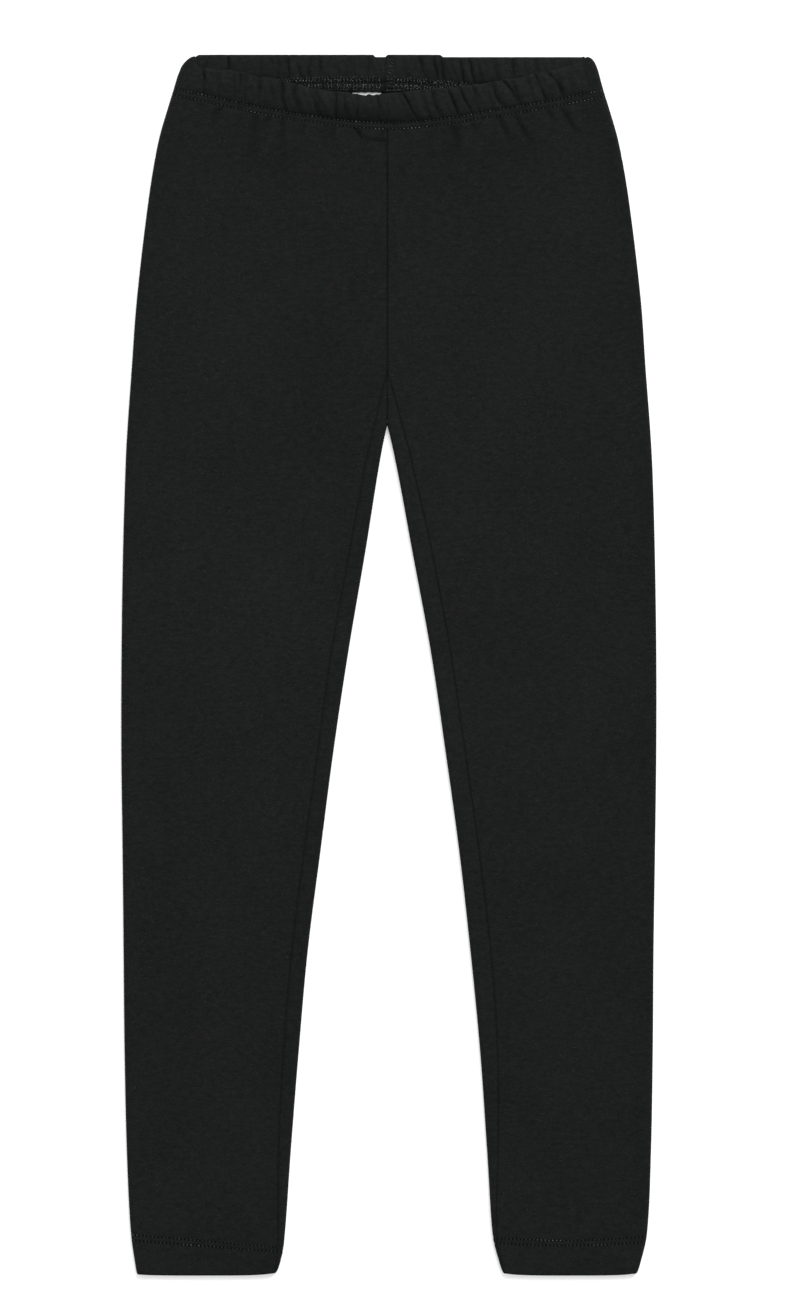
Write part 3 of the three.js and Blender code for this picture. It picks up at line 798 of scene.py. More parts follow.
# Jersey: its knit columns and rows in metres, how its nap is drawn out along the legs, and its parts' shares
WALE = 0.0011
COURSE = 0.0008
NAP_DRAWN = (0.62, 1.2, 1.0)
FIBRE_DRAWN = (0.62, 1.0, 1.0)
# PRICK shapes the painted shadow in the needle holes.
PRICK = {"sharpness": 2.6, "less": 0.1, "within": 1.5}
TINT_SPREAD = 3.0
CLUMP_SHARE = 0.55
DRIFT_SHARE = 1.3
RELIEF = {"ribs": 0.30, "loops": 0.12, "nap": 0.8, "fibre": 0.5}
JERSEY_ROUGHNESS = 0.86
ROUGHNESS_SPREAD = 0.2
JERSEY_BUMP = {"distance": 0.00022, "strength": 0.55}
SHEEN_ROUGHNESS = 0.6
SHEEN_TINT = (0.9, 0.95, 1.0, 1)

THREAD_SPREAD = 3.0
THREAD_DARK = 0.6
THREAD_LIGHT = 1.4
THREAD_ROUGHNESS = 0.42
THREAD_BUMP = {"distance": 0.0001, "strength": 0.4}
THREAD_GLOSS = 0.2

# Tape: the pitch of its warp and weft in metres
WARP_PITCH = 0.00045
WEFT_PITCH = 0.00035
TAPE_DARK = 0.9
TAPE_ROUGHNESS = 0.6
TAPE_RELIEF = {"weave": 0.5, "fuzz": 0.4}
TAPE_BUMP = {"distance": 0.00008, "strength": 0.5}
TAPE_GLOSS = 0.3


def cached(name, make):
    return bpy.data.materials.get(name) or make(name)


def dimmer(colour, level):
    return [channel * level for channel in colour]


def jersey_material(name):
    """Black cotton sweat jersey: a fine knit under a short brushed nap, with light flecks of fibre."""
    look = bpy.context.scene.leggings_finish
    finish = Finish(name)
    place, weave = finish.place(), finish.weave()
    shading_and_tone, holes = finish.attribute("shading_and_tone"), finish.attribute("holes")
    pitch = bpy.context.scene.leggings_sizes.stitch_pitch
    # Painted shadow in the needle holes: the colour darkens in dashes along each needle row.
    along = (weave.part(0) * (2 * math.pi / pitch)).sine()
    pricks = (along * PRICK["sharpness"] - PRICK["less"]).clamp()
    shading_and_tone = shading_and_tone * (1 - (holes * PRICK["within"]).clamp() * pricks * look.hole_shade)
    drawn = finish.scaled(place, NAP_DRAWN)
    nap, clumps = finish.noise("nap", drawn), finish.noise("clumps", drawn)
    clouds, drift = finish.noise("clouds", place), finish.noise("drift", place)
    tint = finish.mix(finish.spread(finish.noise("hue", place), TINT_SPREAD), look.warm, look.cool)
    fibre = finish.noise("fibre", finish.scaled(place, FIBRE_DRAWN))
    flecks = ((fibre - look.fleck_level) * look.fleck_sharpness).clamp()
    mottle = 0.5 + (nap - 0.5) * look.mottle + (clumps - 0.5) * look.mottle * CLUMP_SHARE
    shade = mottle + (clouds - 0.5) * look.clouds + (drift - 0.5) * look.clouds * DRIFT_SHARE
    dark, light = dimmer(look.jersey, 1 - look.contrast), dimmer(look.jersey, 1 + look.contrast)
    ground = finish.mix(shade.clamp(), dark, light)
    flecked = finish.mix(flecks, ground, dimmer(look.jersey, look.fleck_lift))
    u = weave.part(0) / WALE
    v = weave.part(1) / COURSE
    leaning = abs(u.fraction() - 0.5)
    ribs = leaning * 2.0 * RELIEF["ribs"]
    loops = ((v + leaning) * (2 * math.pi)).sine() * RELIEF["loops"]
    height = ribs + loops + nap * RELIEF["nap"] + fibre * RELIEF["fibre"]
    # The tone attribute scales the colour with painted light and shade.
    finish.set(
        Base_Color=finish.dimmed(finish.scaled(flecked, tint), shading_and_tone),
        Roughness=(JERSEY_ROUGHNESS + (nap - 0.5) * ROUGHNESS_SPREAD).clamp(),
        Normal=finish.bump(height, **JERSEY_BUMP),
        Specular_IOR_Level=look.jersey_gloss,
        Sheen_Weight=look.jersey_sheen,
        Sheen_Roughness=SHEEN_ROUGHNESS,
        Sheen_Tint=SHEEN_TINT,
    )
    return finish.material


def thread_material(name):
    """Polyester sewing thread, a little lighter and glossier than the jersey."""
    look = bpy.context.scene.leggings_finish
    finish = Finish(name)
    place, shading_and_tone = finish.place(), finish.attribute("shading_and_tone")
    strands, uneven = finish.noise("strands", place), finish.noise("uneven", place)
    dark, light = dimmer(look.thread, THREAD_DARK), dimmer(look.thread, THREAD_LIGHT)
    # The tone attribute scales the colour with the stitches' painted glints.
    finish.set(
        Base_Color=finish.dimmed(finish.mix(finish.spread(uneven, THREAD_SPREAD), dark, light), shading_and_tone),
        Roughness=(THREAD_ROUGHNESS + (strands - 0.5) * ROUGHNESS_SPREAD).clamp(),
        Normal=finish.bump(strands, **THREAD_BUMP),
        Specular_IOR_Level=THREAD_GLOSS,
    )
    return finish.material


def tape_material(name):
    """White woven tape."""
    look = bpy.context.scene.leggings_finish
    finish = Finish(name)
    weave = finish.weave()
    warp = (weave.part(0) * (2 * math.pi / WARP_PITCH)).sine()
    weft = (weave.part(1) * (2 * math.pi / WEFT_PITCH)).sine()
    fuzz = finish.noise("fuzz", finish.place())
    height = warp * weft * TAPE_RELIEF["weave"] + fuzz * TAPE_RELIEF["fuzz"]
    finish.set(
        Base_Color=finish.mix(fuzz, dimmer(look.tape, TAPE_DARK), look.tape),
        Roughness=(TAPE_ROUGHNESS + fuzz * ROUGHNESS_SPREAD).clamp(),
        Normal=finish.bump(height, **TAPE_BUMP),
        Specular_IOR_Level=TAPE_GLOSS,
    )
    return finish.material


# Legs

def leg_grid(leg, sizes):
    """A leg's outer face as a closed grid [stop][row]: points, distances round, rows and tones, which carry
    painted light and shade.
    """
    rings = []
    for row in leg_rows():
        x, z, share, facing, stops, seam = ring(leg, row)
        across = across_to_centre(leg, x, row)
        hem = (hem_line(leg, share) - HEM_UP) * (1 - smoothstep(row, HEM_UP, HEM_TILT_END))
        waist = np.where(facing, -front_sag(across), back_rise(leg, across))
        up = row + hem + waist * smoothstep(row, WAIST_SAG_START, WAIST_UP)
        up = up - row_drop(leg, x, facing) * smoothstep(row, WAIST_FOLD_START, WAIST_UP)
        if row == WAIST_UP:
            up = up - SEAM_GAP / 2
        off = stops - seam
        below_split = 1 - smoothstep(row, SPLIT_UP - SPLIT_BLEND, SPLIT_UP + SPLIT_BLEND)
        relief = seam_relief(sizes, off) * below_split
        to_waist, to_hem = WAIST_UP - row, row - HEM_UP
        edges = bell(to_waist, ROLL["at_waist"]) + bell(to_hem, ROLL["at_hem"])
        rolled = sizes.row_depth / MM * ROLL["share"] * edges
        edges = bell(to_waist, PUCKER_REACH["at_waist"]) + bell(to_hem, PUCKER_REACH["at_hem"])
        ripple = sizes.pucker / MM * pucker(x) * edges
        folds, trough = relief_of_folds(leg, x, row)
        lump, outline = allowance_lump(leg, x, row)
        relief = np.where(facing, relief - rolled + ripple + folds + lump - LUMP_LINE["groove"] * outline, 0)
        nx, nz = outwards(x, z, leg.side)
        # Painted shade in the seam's groove, with the seam's own dark gap, in the fold troughs and along the
        # line round the allowance lump; painted light on the side folds.
        shade = 1 - sizes.seam_shade * bell(off, SEAM_WIDTH) * facing * below_split
        shade = shade - facing * (sizes.fold_shade * trough + sizes.lump_shade * outline)
        shade = shade * edge_light(nz)
        shade = shade * lerp(HEM_TONE, 1, smoothstep(row, *HEM_TONE_REACH))
        for at, height, width, length, lighter in SHADES:
            shade = shade * (1 + lighter * bell(x - at, width) * bell(row - height, length))
        points = np.stack([x + nx * relief, y_of(up), z + nz * relief], -1)
        rings.append((points, stops, np.full_like(stops, row), shade))
    return [np.stack(parts, 1) for parts in zip(*rings)]


# Cuts beside the centre seam, and how its cloth rolls in, in front and at the back, with painted shade in the
# front groove
CENTRE_CUTS = (0.6, 1.2, 2.0, 3.2)
CENTRE_WIDTH = 0.8
CENTRE_SHADE = 1.6
CENTRE_BACK_ROLL = 0.5


def cut_at_centre(piece, leg, sizes):
    """Cuts a leg off at the centre seams, rolls the cut edges in and paints shade into the front groove."""
    form = bmesh.new()
    form.from_mesh(piece.data)
    plane = leg.centre * MM
    everything = list(form.verts) + list(form.edges) + list(form.faces)
    bmesh.ops.bisect_plane(
        form, geom=everything, plane_co=(plane, 0, 0), plane_no=(-leg.side, 0, 0), clear_outer=True
    )
    for off in CENTRE_CUTS:
        near = list(form.verts) + list(form.edges) + list(form.faces)
        place = (leg.centre + leg.side * off) * MM
        bmesh.ops.bisect_plane(form, geom=near, plane_co=(place, 0, 0), plane_no=(1, 0, 0))
    shade = form.verts.layers.float["shading_and_tone"]
    half = FOLD_RADIUS / 2 * MM
    for vert in form.verts:
        off = abs(vert.co.x - plane) / MM
        roll = float(bell(off, CENTRE_WIDTH))
        if vert.co.z > half:
            vert.co.z -= sizes.seam_depth * roll
            vert[shade] *= 1 - sizes.seam_shade * CENTRE_SHADE * roll
        else:
            vert.co.z += sizes.seam_depth * CENTRE_BACK_ROLL * roll
    form.to_mesh(piece.data)
    form.free()


class LEGGINGS_OT_legs(bpy.types.Operator):
    """Makes both legs, each one panel that wraps round the outer side, from the hem to the waist casing"""

    bl_idname = "leggings.legs"
    bl_label = "Legs"

    def execute(self, context):
        sizes = context.scene.leggings_sizes
        material = cached("brushed_jersey", jersey_material)
        for leg in LEGS:
            points, stops, ups, shading_and_tone = leg_grid(leg, sizes)
            faces, places = faces_of_grid(*stops.shape, True, False, leg.side > 0)
            whole = np.pad(np.stack([stops, ups], -1), ((0, 1), (0, 0), (0, 0)), mode="edge")
            whole[-1, :, 0] += stops[1] - stops[0]
            uvs = whole[places[..., 0], places[..., 1]]
            piece = make_piece(f"{leg.name}_leg_cloth", points.reshape(-1, 3), faces, uvs, shading_and_tone)
            cut_at_centre(piece, leg, sizes)
            solidify(piece, sizes.cloth)
            smooth(piece)
            dress(piece, material, "jersey", f"leg_{leg.name}")
        return {"FINISHED"}


# Hems

LIP_STEPS = 5
HEM_FACE_UPS = (
    2.4, 5, 8, 11, 14, 17, 20, 22.5, 23.7, 24.3, 24.8, 25.2, 25.6, 26.1, 26.9, 27.8, 28.6, 29.1, 29.6, 29.9,
)
HEM_BACK_UPS = (26, 20, 12, 5)
HEM_UPPER_ROW = 29.6
HEM_LOWER_ROW = 25.2
HEM_RAW_EDGE = ((30, 1.75), (31.6, 1.75), (31.9, 2.05), (31.6, 2.4))
HEM_SEAM_SHARE = 0.8
HEM_RIPPLE_LEAN = 0.3
HEM_RIPPLE_REACH = (8, 24)
ROW_WIDTH = 0.75
ROW_GROOVE = 0.5
# ROW_SHADE is the share of the painted shade that a needle row's groove takes.
ROW_SHADE = 0.3


def hem_profile():
    """The hem's closed section: heights over its edge, depths into the tube, and which are on its face."""
    lip = HEM_CLOTH / 2
    angles = np.linspace(0, math.pi / 2, LIP_STEPS, endpoint=False)
    edge_ups, edge_depths = zip(*HEM_RAW_EDGE)
    outside, inside = angles, angles[:0:-1]
    ups = [
        *(lip * (1 - np.cos(outside))), *HEM_FACE_UPS,
        *edge_ups, *HEM_BACK_UPS, *(lip * (1 - np.cos(inside))),
    ]
    depths = [
        *(lip * (1 - np.sin(outside))), *([0] * len(HEM_FACE_UPS)),
        *edge_depths, *([HEM_CLOTH] * len(HEM_BACK_UPS)), *(lip * (1 + np.sin(inside))),
    ]
    is_face = np.arange(len(ups)) < LIP_STEPS + len(HEM_FACE_UPS)
    return np.array(ups), np.array(depths, float), is_face


def hem_grid(leg, sizes):
    """The hem as a closed grid [stop][height]: points, distances round, heights, tones with painted light and
    shade, and needle holes, whose shadow is painted.
    """
    columns = []
    for up, depth, face in zip(*hem_profile()):
        x, z, share, facing, stops, seam = ring(leg, up, 0)
        curl = leg.outer_curl * (1 - share) ** CURL_POWER + leg.inner_curl * share**CURL_POWER
        height = lerp(curl, hem_line(leg, share) - SEAM_GAP, up / HEM_UP)
        off = stops - seam
        rows = bell(up - HEM_LOWER_ROW, ROW_WIDTH) + bell(up - HEM_UPPER_ROW, ROW_WIDTH)
        rolled = sizes.row_depth / MM * ROW_GROOVE * rows
        ripple = sizes.pucker / MM * pucker(x + up * HEM_RIPPLE_LEAN) * smoothstep(up, *HEM_RIPPLE_REACH)
        groove = np.where(facing, seam_relief(sizes, off) * HEM_SEAM_SHARE + ripple, 0) - rolled
        inset = depth - groove if face else np.full_like(x, depth)
        nx, nz = outwards(x, z, leg.side)
        points = np.stack([x - nx * inset, y_of(height), z - nz * inset], -1)
        points[:, 2] = np.maximum(points[:, 2], 0)
        # Painted shade in the needle rows' grooves and in the seam, with the seam's own dark gap; painted
        # light on the side folds.
        shade = HEM_TONE * (1 - sizes.seam_shade * (ROW_SHADE * rows + bell(off, SEAM_WIDTH) * facing) * face)
        shade = shade * edge_light(nz)
        holes = np.full_like(stops, rows * face)
        columns.append((points, stops, np.full_like(stops, up), shade, holes))
    return [np.stack(parts, 1) for parts in zip(*columns)]


class LEGGINGS_OT_hems(bpy.types.Operator):
    """Makes both hems, each the leg's end turned up inside"""

    bl_idname = "leggings.hems"
    bl_label = "Hems"

    def execute(self, context):
        sizes = context.scene.leggings_sizes
        material = cached("brushed_jersey", jersey_material)
        for leg in LEGS:
            points, stops, ups, shading_and_tone, holes = hem_grid(leg, sizes)
            count, rows = stops.shape
            faces, places = faces_of_grid(count, rows, True, True, leg.side > 0)
            uvs = np.stack([stops, ups], -1)[places[..., 0] % count, places[..., 1] % rows]
            piece = make_piece(f"{leg.name}_hem_cloth", points.reshape(-1, 3), faces, uvs, shading_and_tone, holes)
            smooth(piece)
            dress(piece, material, "jersey", f"hem_{leg.name}")
        return {"FINISHED"}


# Waist casing

# Columns and rows of a casing's grid
CASING_STEP = 1.0
CASING_ARC_STEPS = 12
CENTRE_COLUMNS = (0, 0.4, 0.8, 1.3, 2.0, 2.9)
CENTRE_COLUMNS_END = 3.9
CASING_FACE_UPS = (
    0.05, 0.45, 0.95, 1.7, 2.5, 3.3, 4.3, 4.85, 5.4, 6.0, 6.8, 7.8, 9, 10.6, 12.2, 13.8, 15.4, 17, 18.6,
    20.2, 21.6, 22.8, 23.8, 24.6,
)
CROWN_ANGLES = (0, 16, 32, 48, 62, 75, 85)

# Needle rows of the casing, with the painted shadow in their needle holes
ROW_UP = 0.45
UPPER_ROW_UP = 4.85
WAIST_HOLES = 0.5
WAIST_THREAD_LIGHT = 1.3
WAIST_PUCKER = {"share": 1.6, "at": 2.2, "reach": 2.6}

# Creases: how they run, sway and vary, and how far a top edge dips at them
CREASE_BEYOND = 1.15
CREASE_SPREAD = 0.85
CREASE_POWER = 1.35
CREASE_UNEVEN = {"size": 0.25, "height": 3.9, "phase": 1.3}
CREASE_SWAY = {"size": 0.35, "height": 2.7, "phase": 1.9}
CORE_SPREAD = 0.5
TOP_NOTCH = 0.3
NOTCH_SPREAD = 1.2
CENTRE_FADE = 10
FOLD_FADE = 14
RIPPLE = 0.25
RIPPLE_PITCH = 7.3
RIPPLE_LEAN = 0.4

# The casing's tones: lighter over the rows, and painted shade on the crown, in the centre seam and in the
# middle of the front band
CASING_TONE = 1.14
CASING_TONE_REACH = (4, 9)
CROWN_DIM = 0.3
CASING_SEAM_SHARE = 0.3
BAND_MIDDLE = -22
BAND_SPREAD = 64
BAND_FULLNESS = (0.8, 1.5)
BAND_SHADE_REACH = (3.4, 6, 22)
INSIDE_SHARE = 0.5

# The back casing's top edge and raw edge, and how the label lifts it
BACK_STEP = {"start": 40.4, "end": 43.4, "drop": 1.9}
BACK_NOTCH = {"left": -12.0, "right": -2.2, "depth": 1.9, "blend": 1}
BACK_RISEN = 0.98
RAW_EDGE = 2.6
RAW_EDGE_CLOTH = 0.65
RAW_EDGE_WAVE = 0.2
RAW_EDGE_PITCH = 5.3
RAW_EDGE_ROUND = 0.25
LABEL_COVER = 0.5
LABEL_LIFT = 1.3
LABEL_LIFT_REACH = (0.2, 4)
LABEL_BLEND = 3


def crease_line(creases, up):
    """Each crease's x at a height over the casing's sewn edge."""
    down = np.clip((CASING_HEIGHT - up) / (CASING_HEIGHT - CREASE_FOOT), 0, CREASE_BEYOND)
    top, middle, foot = np.array(creases, float)[:, :3].T
    bow = 4 * down * (1 - down)
    sway = CREASE_SWAY["size"] * np.sin(up / CREASE_SWAY["height"] + CREASE_SWAY["phase"] * top)
    return lerp(top, foot, down) + bow * (middle - (top + foot) / 2) + sway


def gathers(creases, x, up, spread=1):
    """How full the gathered cloth stands at a point of the casing: 1 on a puff and 0 in a deep crease."""
    _, middle, _, depth, width = np.array(creases, float).T
    off = np.abs(np.asarray(x, float)[..., None] - crease_line(creases, up))
    uneven = np.sin(up / CREASE_UNEVEN["height"] + CREASE_UNEVEN["phase"] * middle)
    depth = depth * (1 + CREASE_UNEVEN["size"] * uneven)
    return 1 - (depth * np.exp(-((off / (width * CREASE_SPREAD * spread)) ** CREASE_POWER))).sum(-1)


def back_edge(leg, x, sewn):
    """How far the back casing's top lies above its usual line: a step, and a notch at the centre seam."""
    left, right, blend = BACK_NOTCH["left"], BACK_NOTCH["right"], BACK_NOTCH["blend"]
    notch = smoothstep(x, left - blend, left + blend) * (1 - smoothstep(x, right - blend, right + blend))
    rest = 0
    if leg is LEFT and sewn > leg.side_rise * BACK_RISEN:
        line = WAIST_BACK_RISE - BACK_STEP["drop"] * smoothstep(x, BACK_STEP["start"], BACK_STEP["end"])
        rest = min(float(line) - sewn, WAIST_BACK_RISE)
    return rest - BACK_NOTCH["depth"] * float(notch)


def over_label(x):
    """1 over the label, falling to 0 beside it."""
    left, right = LABEL["x"] - LABEL["width"] / 2, LABEL["x"] + LABEL["width"] / 2
    return float(smoothstep(x, left - LABEL_BLEND, left) * (1 - smoothstep(x, right, right + LABEL_BLEND)))


def label_lift(x, up):
    """How far the label under the back casing's raw edge lifts it."""
    return LABEL_LIFT * over_label(x) * (1 - float(smoothstep(up, *LABEL_LIFT_REACH)))


def band_middle(x):
    return float(bell(x - BAND_MIDDLE, BAND_SPREAD))


def thickness_at(height):
    return float(np.interp(height, CASING_UPS, CASING_THICKNESS))


def gathering_at(height):
    return float(np.interp(height, CASING_UPS, CASING_GATHERS))


def needle_rows_at(height):
    return float(bell(height - UPPER_ROW_UP, ROW_WIDTH) + bell(height - ROW_UP, ROW_WIDTH))


def casing_profile():
    """The casing's section: each point's height over the sewn edge, and its angle round the crown."""
    crowns = [math.radians(angle) for angle in CROWN_ANGLES]
    height = CASING_HEIGHT - CASING_CROWN_UP
    return [(up, 0) for up in CASING_FACE_UPS] + [(CASING_CROWN_UP + height * math.sin(a), a) for a in crowns]


def raw_edge(foot, out):
    """The turned-down layer's raw edge, below the sewn line inside. out is towards the outer face."""
    foot, out = np.array(foot), np.array(out) * RAW_EDGE_CLOTH
    cover = LABEL_COVER * over_label(foot[0]) * float(out[2] < 0)
    wave = RAW_EDGE_WAVE * float(pucker(foot[0], RAW_EDGE_PITCH))
    down = np.array((0, RAW_EDGE + cover + wave, 0))
    tip = np.array((0, RAW_EDGE_ROUND, 0))
    return [foot - down, foot - down - tip + out / 2, foot - down + out, foot + out]


def closed_section(face, back, shading_and_tone, rows, out):
    """A section's ring, tones with painted light and shade, and needle holes: up the outer face, down the
    inner, round the raw edge.
    """
    edge = raw_edge(back[0], out)
    outer, inner = zip(*shading_and_tone)
    tones = [*outer, *inner[::-1], *(inner[0] for _ in edge)]
    return [*face, *back[::-1], *edge], tones, [*rows, *(0 for _ in back), *(0 for _ in edge)]


def casing_section(leg, sizes, x0, front):
    """One section through the casing: its outer and its inner face, from the sewn edge to the crown."""
    creases = leg.front_creases if front else leg.back_creases
    order = np.argsort([crease[0] for crease in creases])
    tops = np.array([creases[i][0] for i in order])
    edge = abs(x0 - leg.centre)
    seam = float(bell(edge, CENTRE_WIDTH))
    face, back, shading_and_tone, holes = [], [], [], []
    for height, crown in casing_profile():
        run = float(np.interp(x0, tops, crease_line(creases, height)[order] - tops))
        start = float(leg.outer(WAIST_UP + height)) - leg.side * CASING_FOLD_RADIUS
        off_seam = float(smoothstep(edge, 0, CENTRE_FADE))
        off_fold = float(smoothstep(abs(x0 - start), 0, FOLD_FADE))
        x = x0 + run * off_seam * off_fold
        across = float(np.clip((x - start) / (CENTRE_X - start), 0, 1))
        sewn = -front_sag(across) if front else back_rise(leg, across)
        drop = float(row_drop(leg, x, front)) * (1 - height / CASING_HEIGHT)
        full = float(gathers(creases, x, height))
        core = 1 - float(gathers(creases, x, height, CORE_SPREAD))
        near = float(bell(x - start, FOLD_REACH))
        level, rows = gathering_at(height), needle_rows_at(height)
        uneven = RIPPLE * float(pucker(x + RIPPLE_LEAN * height, RIPPLE_PITCH))
        puff = (sizes.gather / MM * full + uneven) * level * (1 - near)
        thick = thickness_at(height)
        if front:
            thick = lerp(CASING_THICKNESS[0], thick, lerp(*BAND_FULLNESS, band_middle(x)))
        thick = lerp(thick, min(thick, CASING_FOLD_CLOTH), near)
        # Painted shade in the creases and their cores; below, painted shade in the centre seam's groove and
        # the needle rows.
        shade = 1 - (sizes.crease_shade * (1 - full) + sizes.core_shade * core) * level
        shade *= 1 + (CASING_TONE - 1) * float(smoothstep(height, *CASING_TONE_REACH))
        shade -= sizes.seam_shade * (CASING_SEAM_SHARE * seam + ROW_SHADE * rows)
        groove = sizes.seam_depth / MM * seam * CASING_SEAM_SHARE + sizes.row_depth / MM * rows * ROW_GROOVE
        towards_top = float(smoothstep(height, TOP_START, CASING_HEIGHT))
        level_top = 0 if front else max(leg.side_rise - sewn, 0)
        lift = lerp(leg.corner_lift, level_top, float(smoothstep(abs(x - start), 0, CORNER_WIDTH)))
        if front:
            under = lerp(CASING_FRONT_UNDER, 2 * CASING_FOLD_RADIUS - CASING_FOLD_CLOTH, near)
            dented = 1 - float(gathers(creases, x, height, NOTCH_SPREAD))
            top = height + (lift - front_drop(x) - TOP_NOTCH * dented) * towards_top - drop
            # Painted shade on the lower slope of the front band's middle, which faces away from the light,
            # and on the crown.
            bottom, darkest, clear = BAND_SHADE_REACH
            low = float(smoothstep(height, bottom, darkest)) * (1 - float(smoothstep(height, darkest, clear)))
            shade -= sizes.band_shade * band_middle(x) * low
            shade *= 1 - CROWN_DIM * math.sin(crown)
        else:
            under = 0
            top = height + (lift + back_edge(leg, x, sewn)) * towards_top - drop
            puff += label_lift(x, height)
            # Painted shade under the looper threads.
            below, above = (looper_top(x) + off for off in LOOPER_SHADE_EDGE)
            shade -= sizes.looper_shade * (1 - float(smoothstep(height, below, above)))
        middle = under + (thick + puff) / 2
        half = (thick + puff) / 2 * math.cos(crown)
        upper, lower = middle + half, middle - half
        y = y_of(WAIST_UP + sewn + top)
        if front:
            along_row = float(bell(height - WAIST_PUCKER["at"], WAIST_PUCKER["reach"]))
            wave = WAIST_PUCKER["share"] * float(pucker(x)) * along_row
            face.append((x, y, upper + (sizes.pucker / MM * wave - groove)))
            back.append((x, y, lower))
            shading_and_tone.append((shade, 1))
        else:
            face.append((x, y, lower + INSIDE_SHARE * groove))
            back.append((x, y, upper))
            # The outer face is painted darker in the needle rows' grooves; the inner face takes the painted
            # shade above.
            shading_and_tone.append((1 - sizes.seam_shade * rows * INSIDE_SHARE, shade))
        holes.append(rows * WAIST_HOLES)
    return closed_section(face, back, shading_and_tone, holes, (0, 0, 1 if front else -1))


def casing_turn(leg, sizes, angle):
    """One section through the casing on its side fold, at an angle round it."""
    face, back, shading_and_tone, holes = [], [], [], []
    light = edge_light(math.sin(angle))
    for height, crown in casing_profile():
        thick = min(thickness_at(height), CASING_FOLD_CLOTH)
        rows = needle_rows_at(height)
        centre = float(leg.outer(WAIST_UP + height)) - leg.side * CASING_FOLD_RADIUS
        drop = float(row_drop(leg, centre, True)) * (1 - height / CASING_HEIGHT)
        drop -= leg.corner_lift * float(smoothstep(height, TOP_START, CASING_HEIGHT))
        inset = thick / 2 * (1 - math.cos(crown))
        groove = sizes.row_depth / MM * rows * ROW_GROOVE
        for depth, points in ((inset + groove, face), (thick - inset, back)):
            radius = CASING_FOLD_RADIUS - depth
            x = centre + leg.side * radius * math.cos(angle)
            points.append((x, y_of(WAIST_UP + height - drop), CASING_FOLD_RADIUS + radius * math.sin(angle)))
        # Painted light on the side fold, and painted shade in the needle rows' grooves.
        shading_and_tone.append((light * (1 - sizes.seam_shade * ROW_SHADE * rows), 1))
        holes.append(rows * WAIST_HOLES)
    return closed_section(face, back, shading_and_tone, holes, (leg.side * math.cos(angle), 0, math.sin(angle)))


def casing_grid(leg, sizes):
    """A casing half as closed sections, from the centre back round the side fold to the centre front.

    Each point has its place, its tone with painted light and shade, and how far it lies in a needle hole,
    whose shadow is painted.
    """
    top = float(leg.outer(WAIST_UP + CASING_HEIGHT)) - leg.side * CASING_FOLD_RADIUS
    count = int(abs(top - leg.centre) / CASING_STEP)
    plain = np.linspace(leg.centre + leg.side * CENTRE_COLUMNS_END, top, count)
    across = [*(leg.centre + np.array(CENTRE_COLUMNS) * leg.side), *plain]
    turns = [math.pi * (step / CASING_ARC_STEPS - 0.5) for step in range(1, CASING_ARC_STEPS)]
    sections = [casing_section(leg, sizes, x, False) for x in across]
    sections += [casing_turn(leg, sizes, angle) for angle in turns]
    sections += [casing_section(leg, sizes, x, True) for x in across[::-1]]
    points, shading_and_tone, holes = (np.array(part, float) for part in zip(*sections))
    points[..., 2] = np.maximum(points[..., 2], 0)
    return points, shading_and_tone, holes


def walked(path):
    """The distance along a path at each of its points."""
    return np.concatenate([[0], np.cumsum(np.linalg.norm(np.diff(path, axis=0), axis=1))])


class LEGGINGS_OT_casing(bpy.types.Operator):
    """Makes the two halves of the gathered waist casing"""

    bl_idname = "leggings.casing"
    bl_label = "Waist casing"

    def execute(self, context):
        sizes = context.scene.leggings_sizes
        material = cached("brushed_jersey", jersey_material)
        for leg in LEGS:
            points, shading_and_tone, holes = casing_grid(leg, sizes)
            count, ring_size = points.shape[:2]
            faces, places = faces_of_grid(count, ring_size, False, True, leg.side > 0)
            along = walked(points[:, 0])
            section = points[count // 2]
            around = walked(np.concatenate([section, section[:1]]))
            uvs = np.stack([along[places[..., 0]], around[places[..., 1]]], -1)
            faces, uvs = faces.tolist(), uvs.reshape(-1, 2).tolist()
            for end, turned in ((0, leg.side < 0), (count - 1, leg.side > 0)):
                corners = list(range(ring_size))[:: 1 if turned else -1]
                faces.append([end * ring_size + corner for corner in corners])
                uvs += [[along[end], around[corner]] for corner in corners]
            name = f"{leg.name}_waist_casing_cloth"
            piece = make_piece(name, points.reshape(-1, 3), faces, np.array(uvs), shading_and_tone, holes)
            smooth(piece)
            dress(piece, material, "jersey", f"waist_casing_{leg.name}")
        return {"FINISHED"}


# Label

LABEL_STEPS = 24
LABEL_TURNS = 9
LABEL_COLUMNS = 13
LABEL_CURL = 0.12
LABEL_REST = 1.75


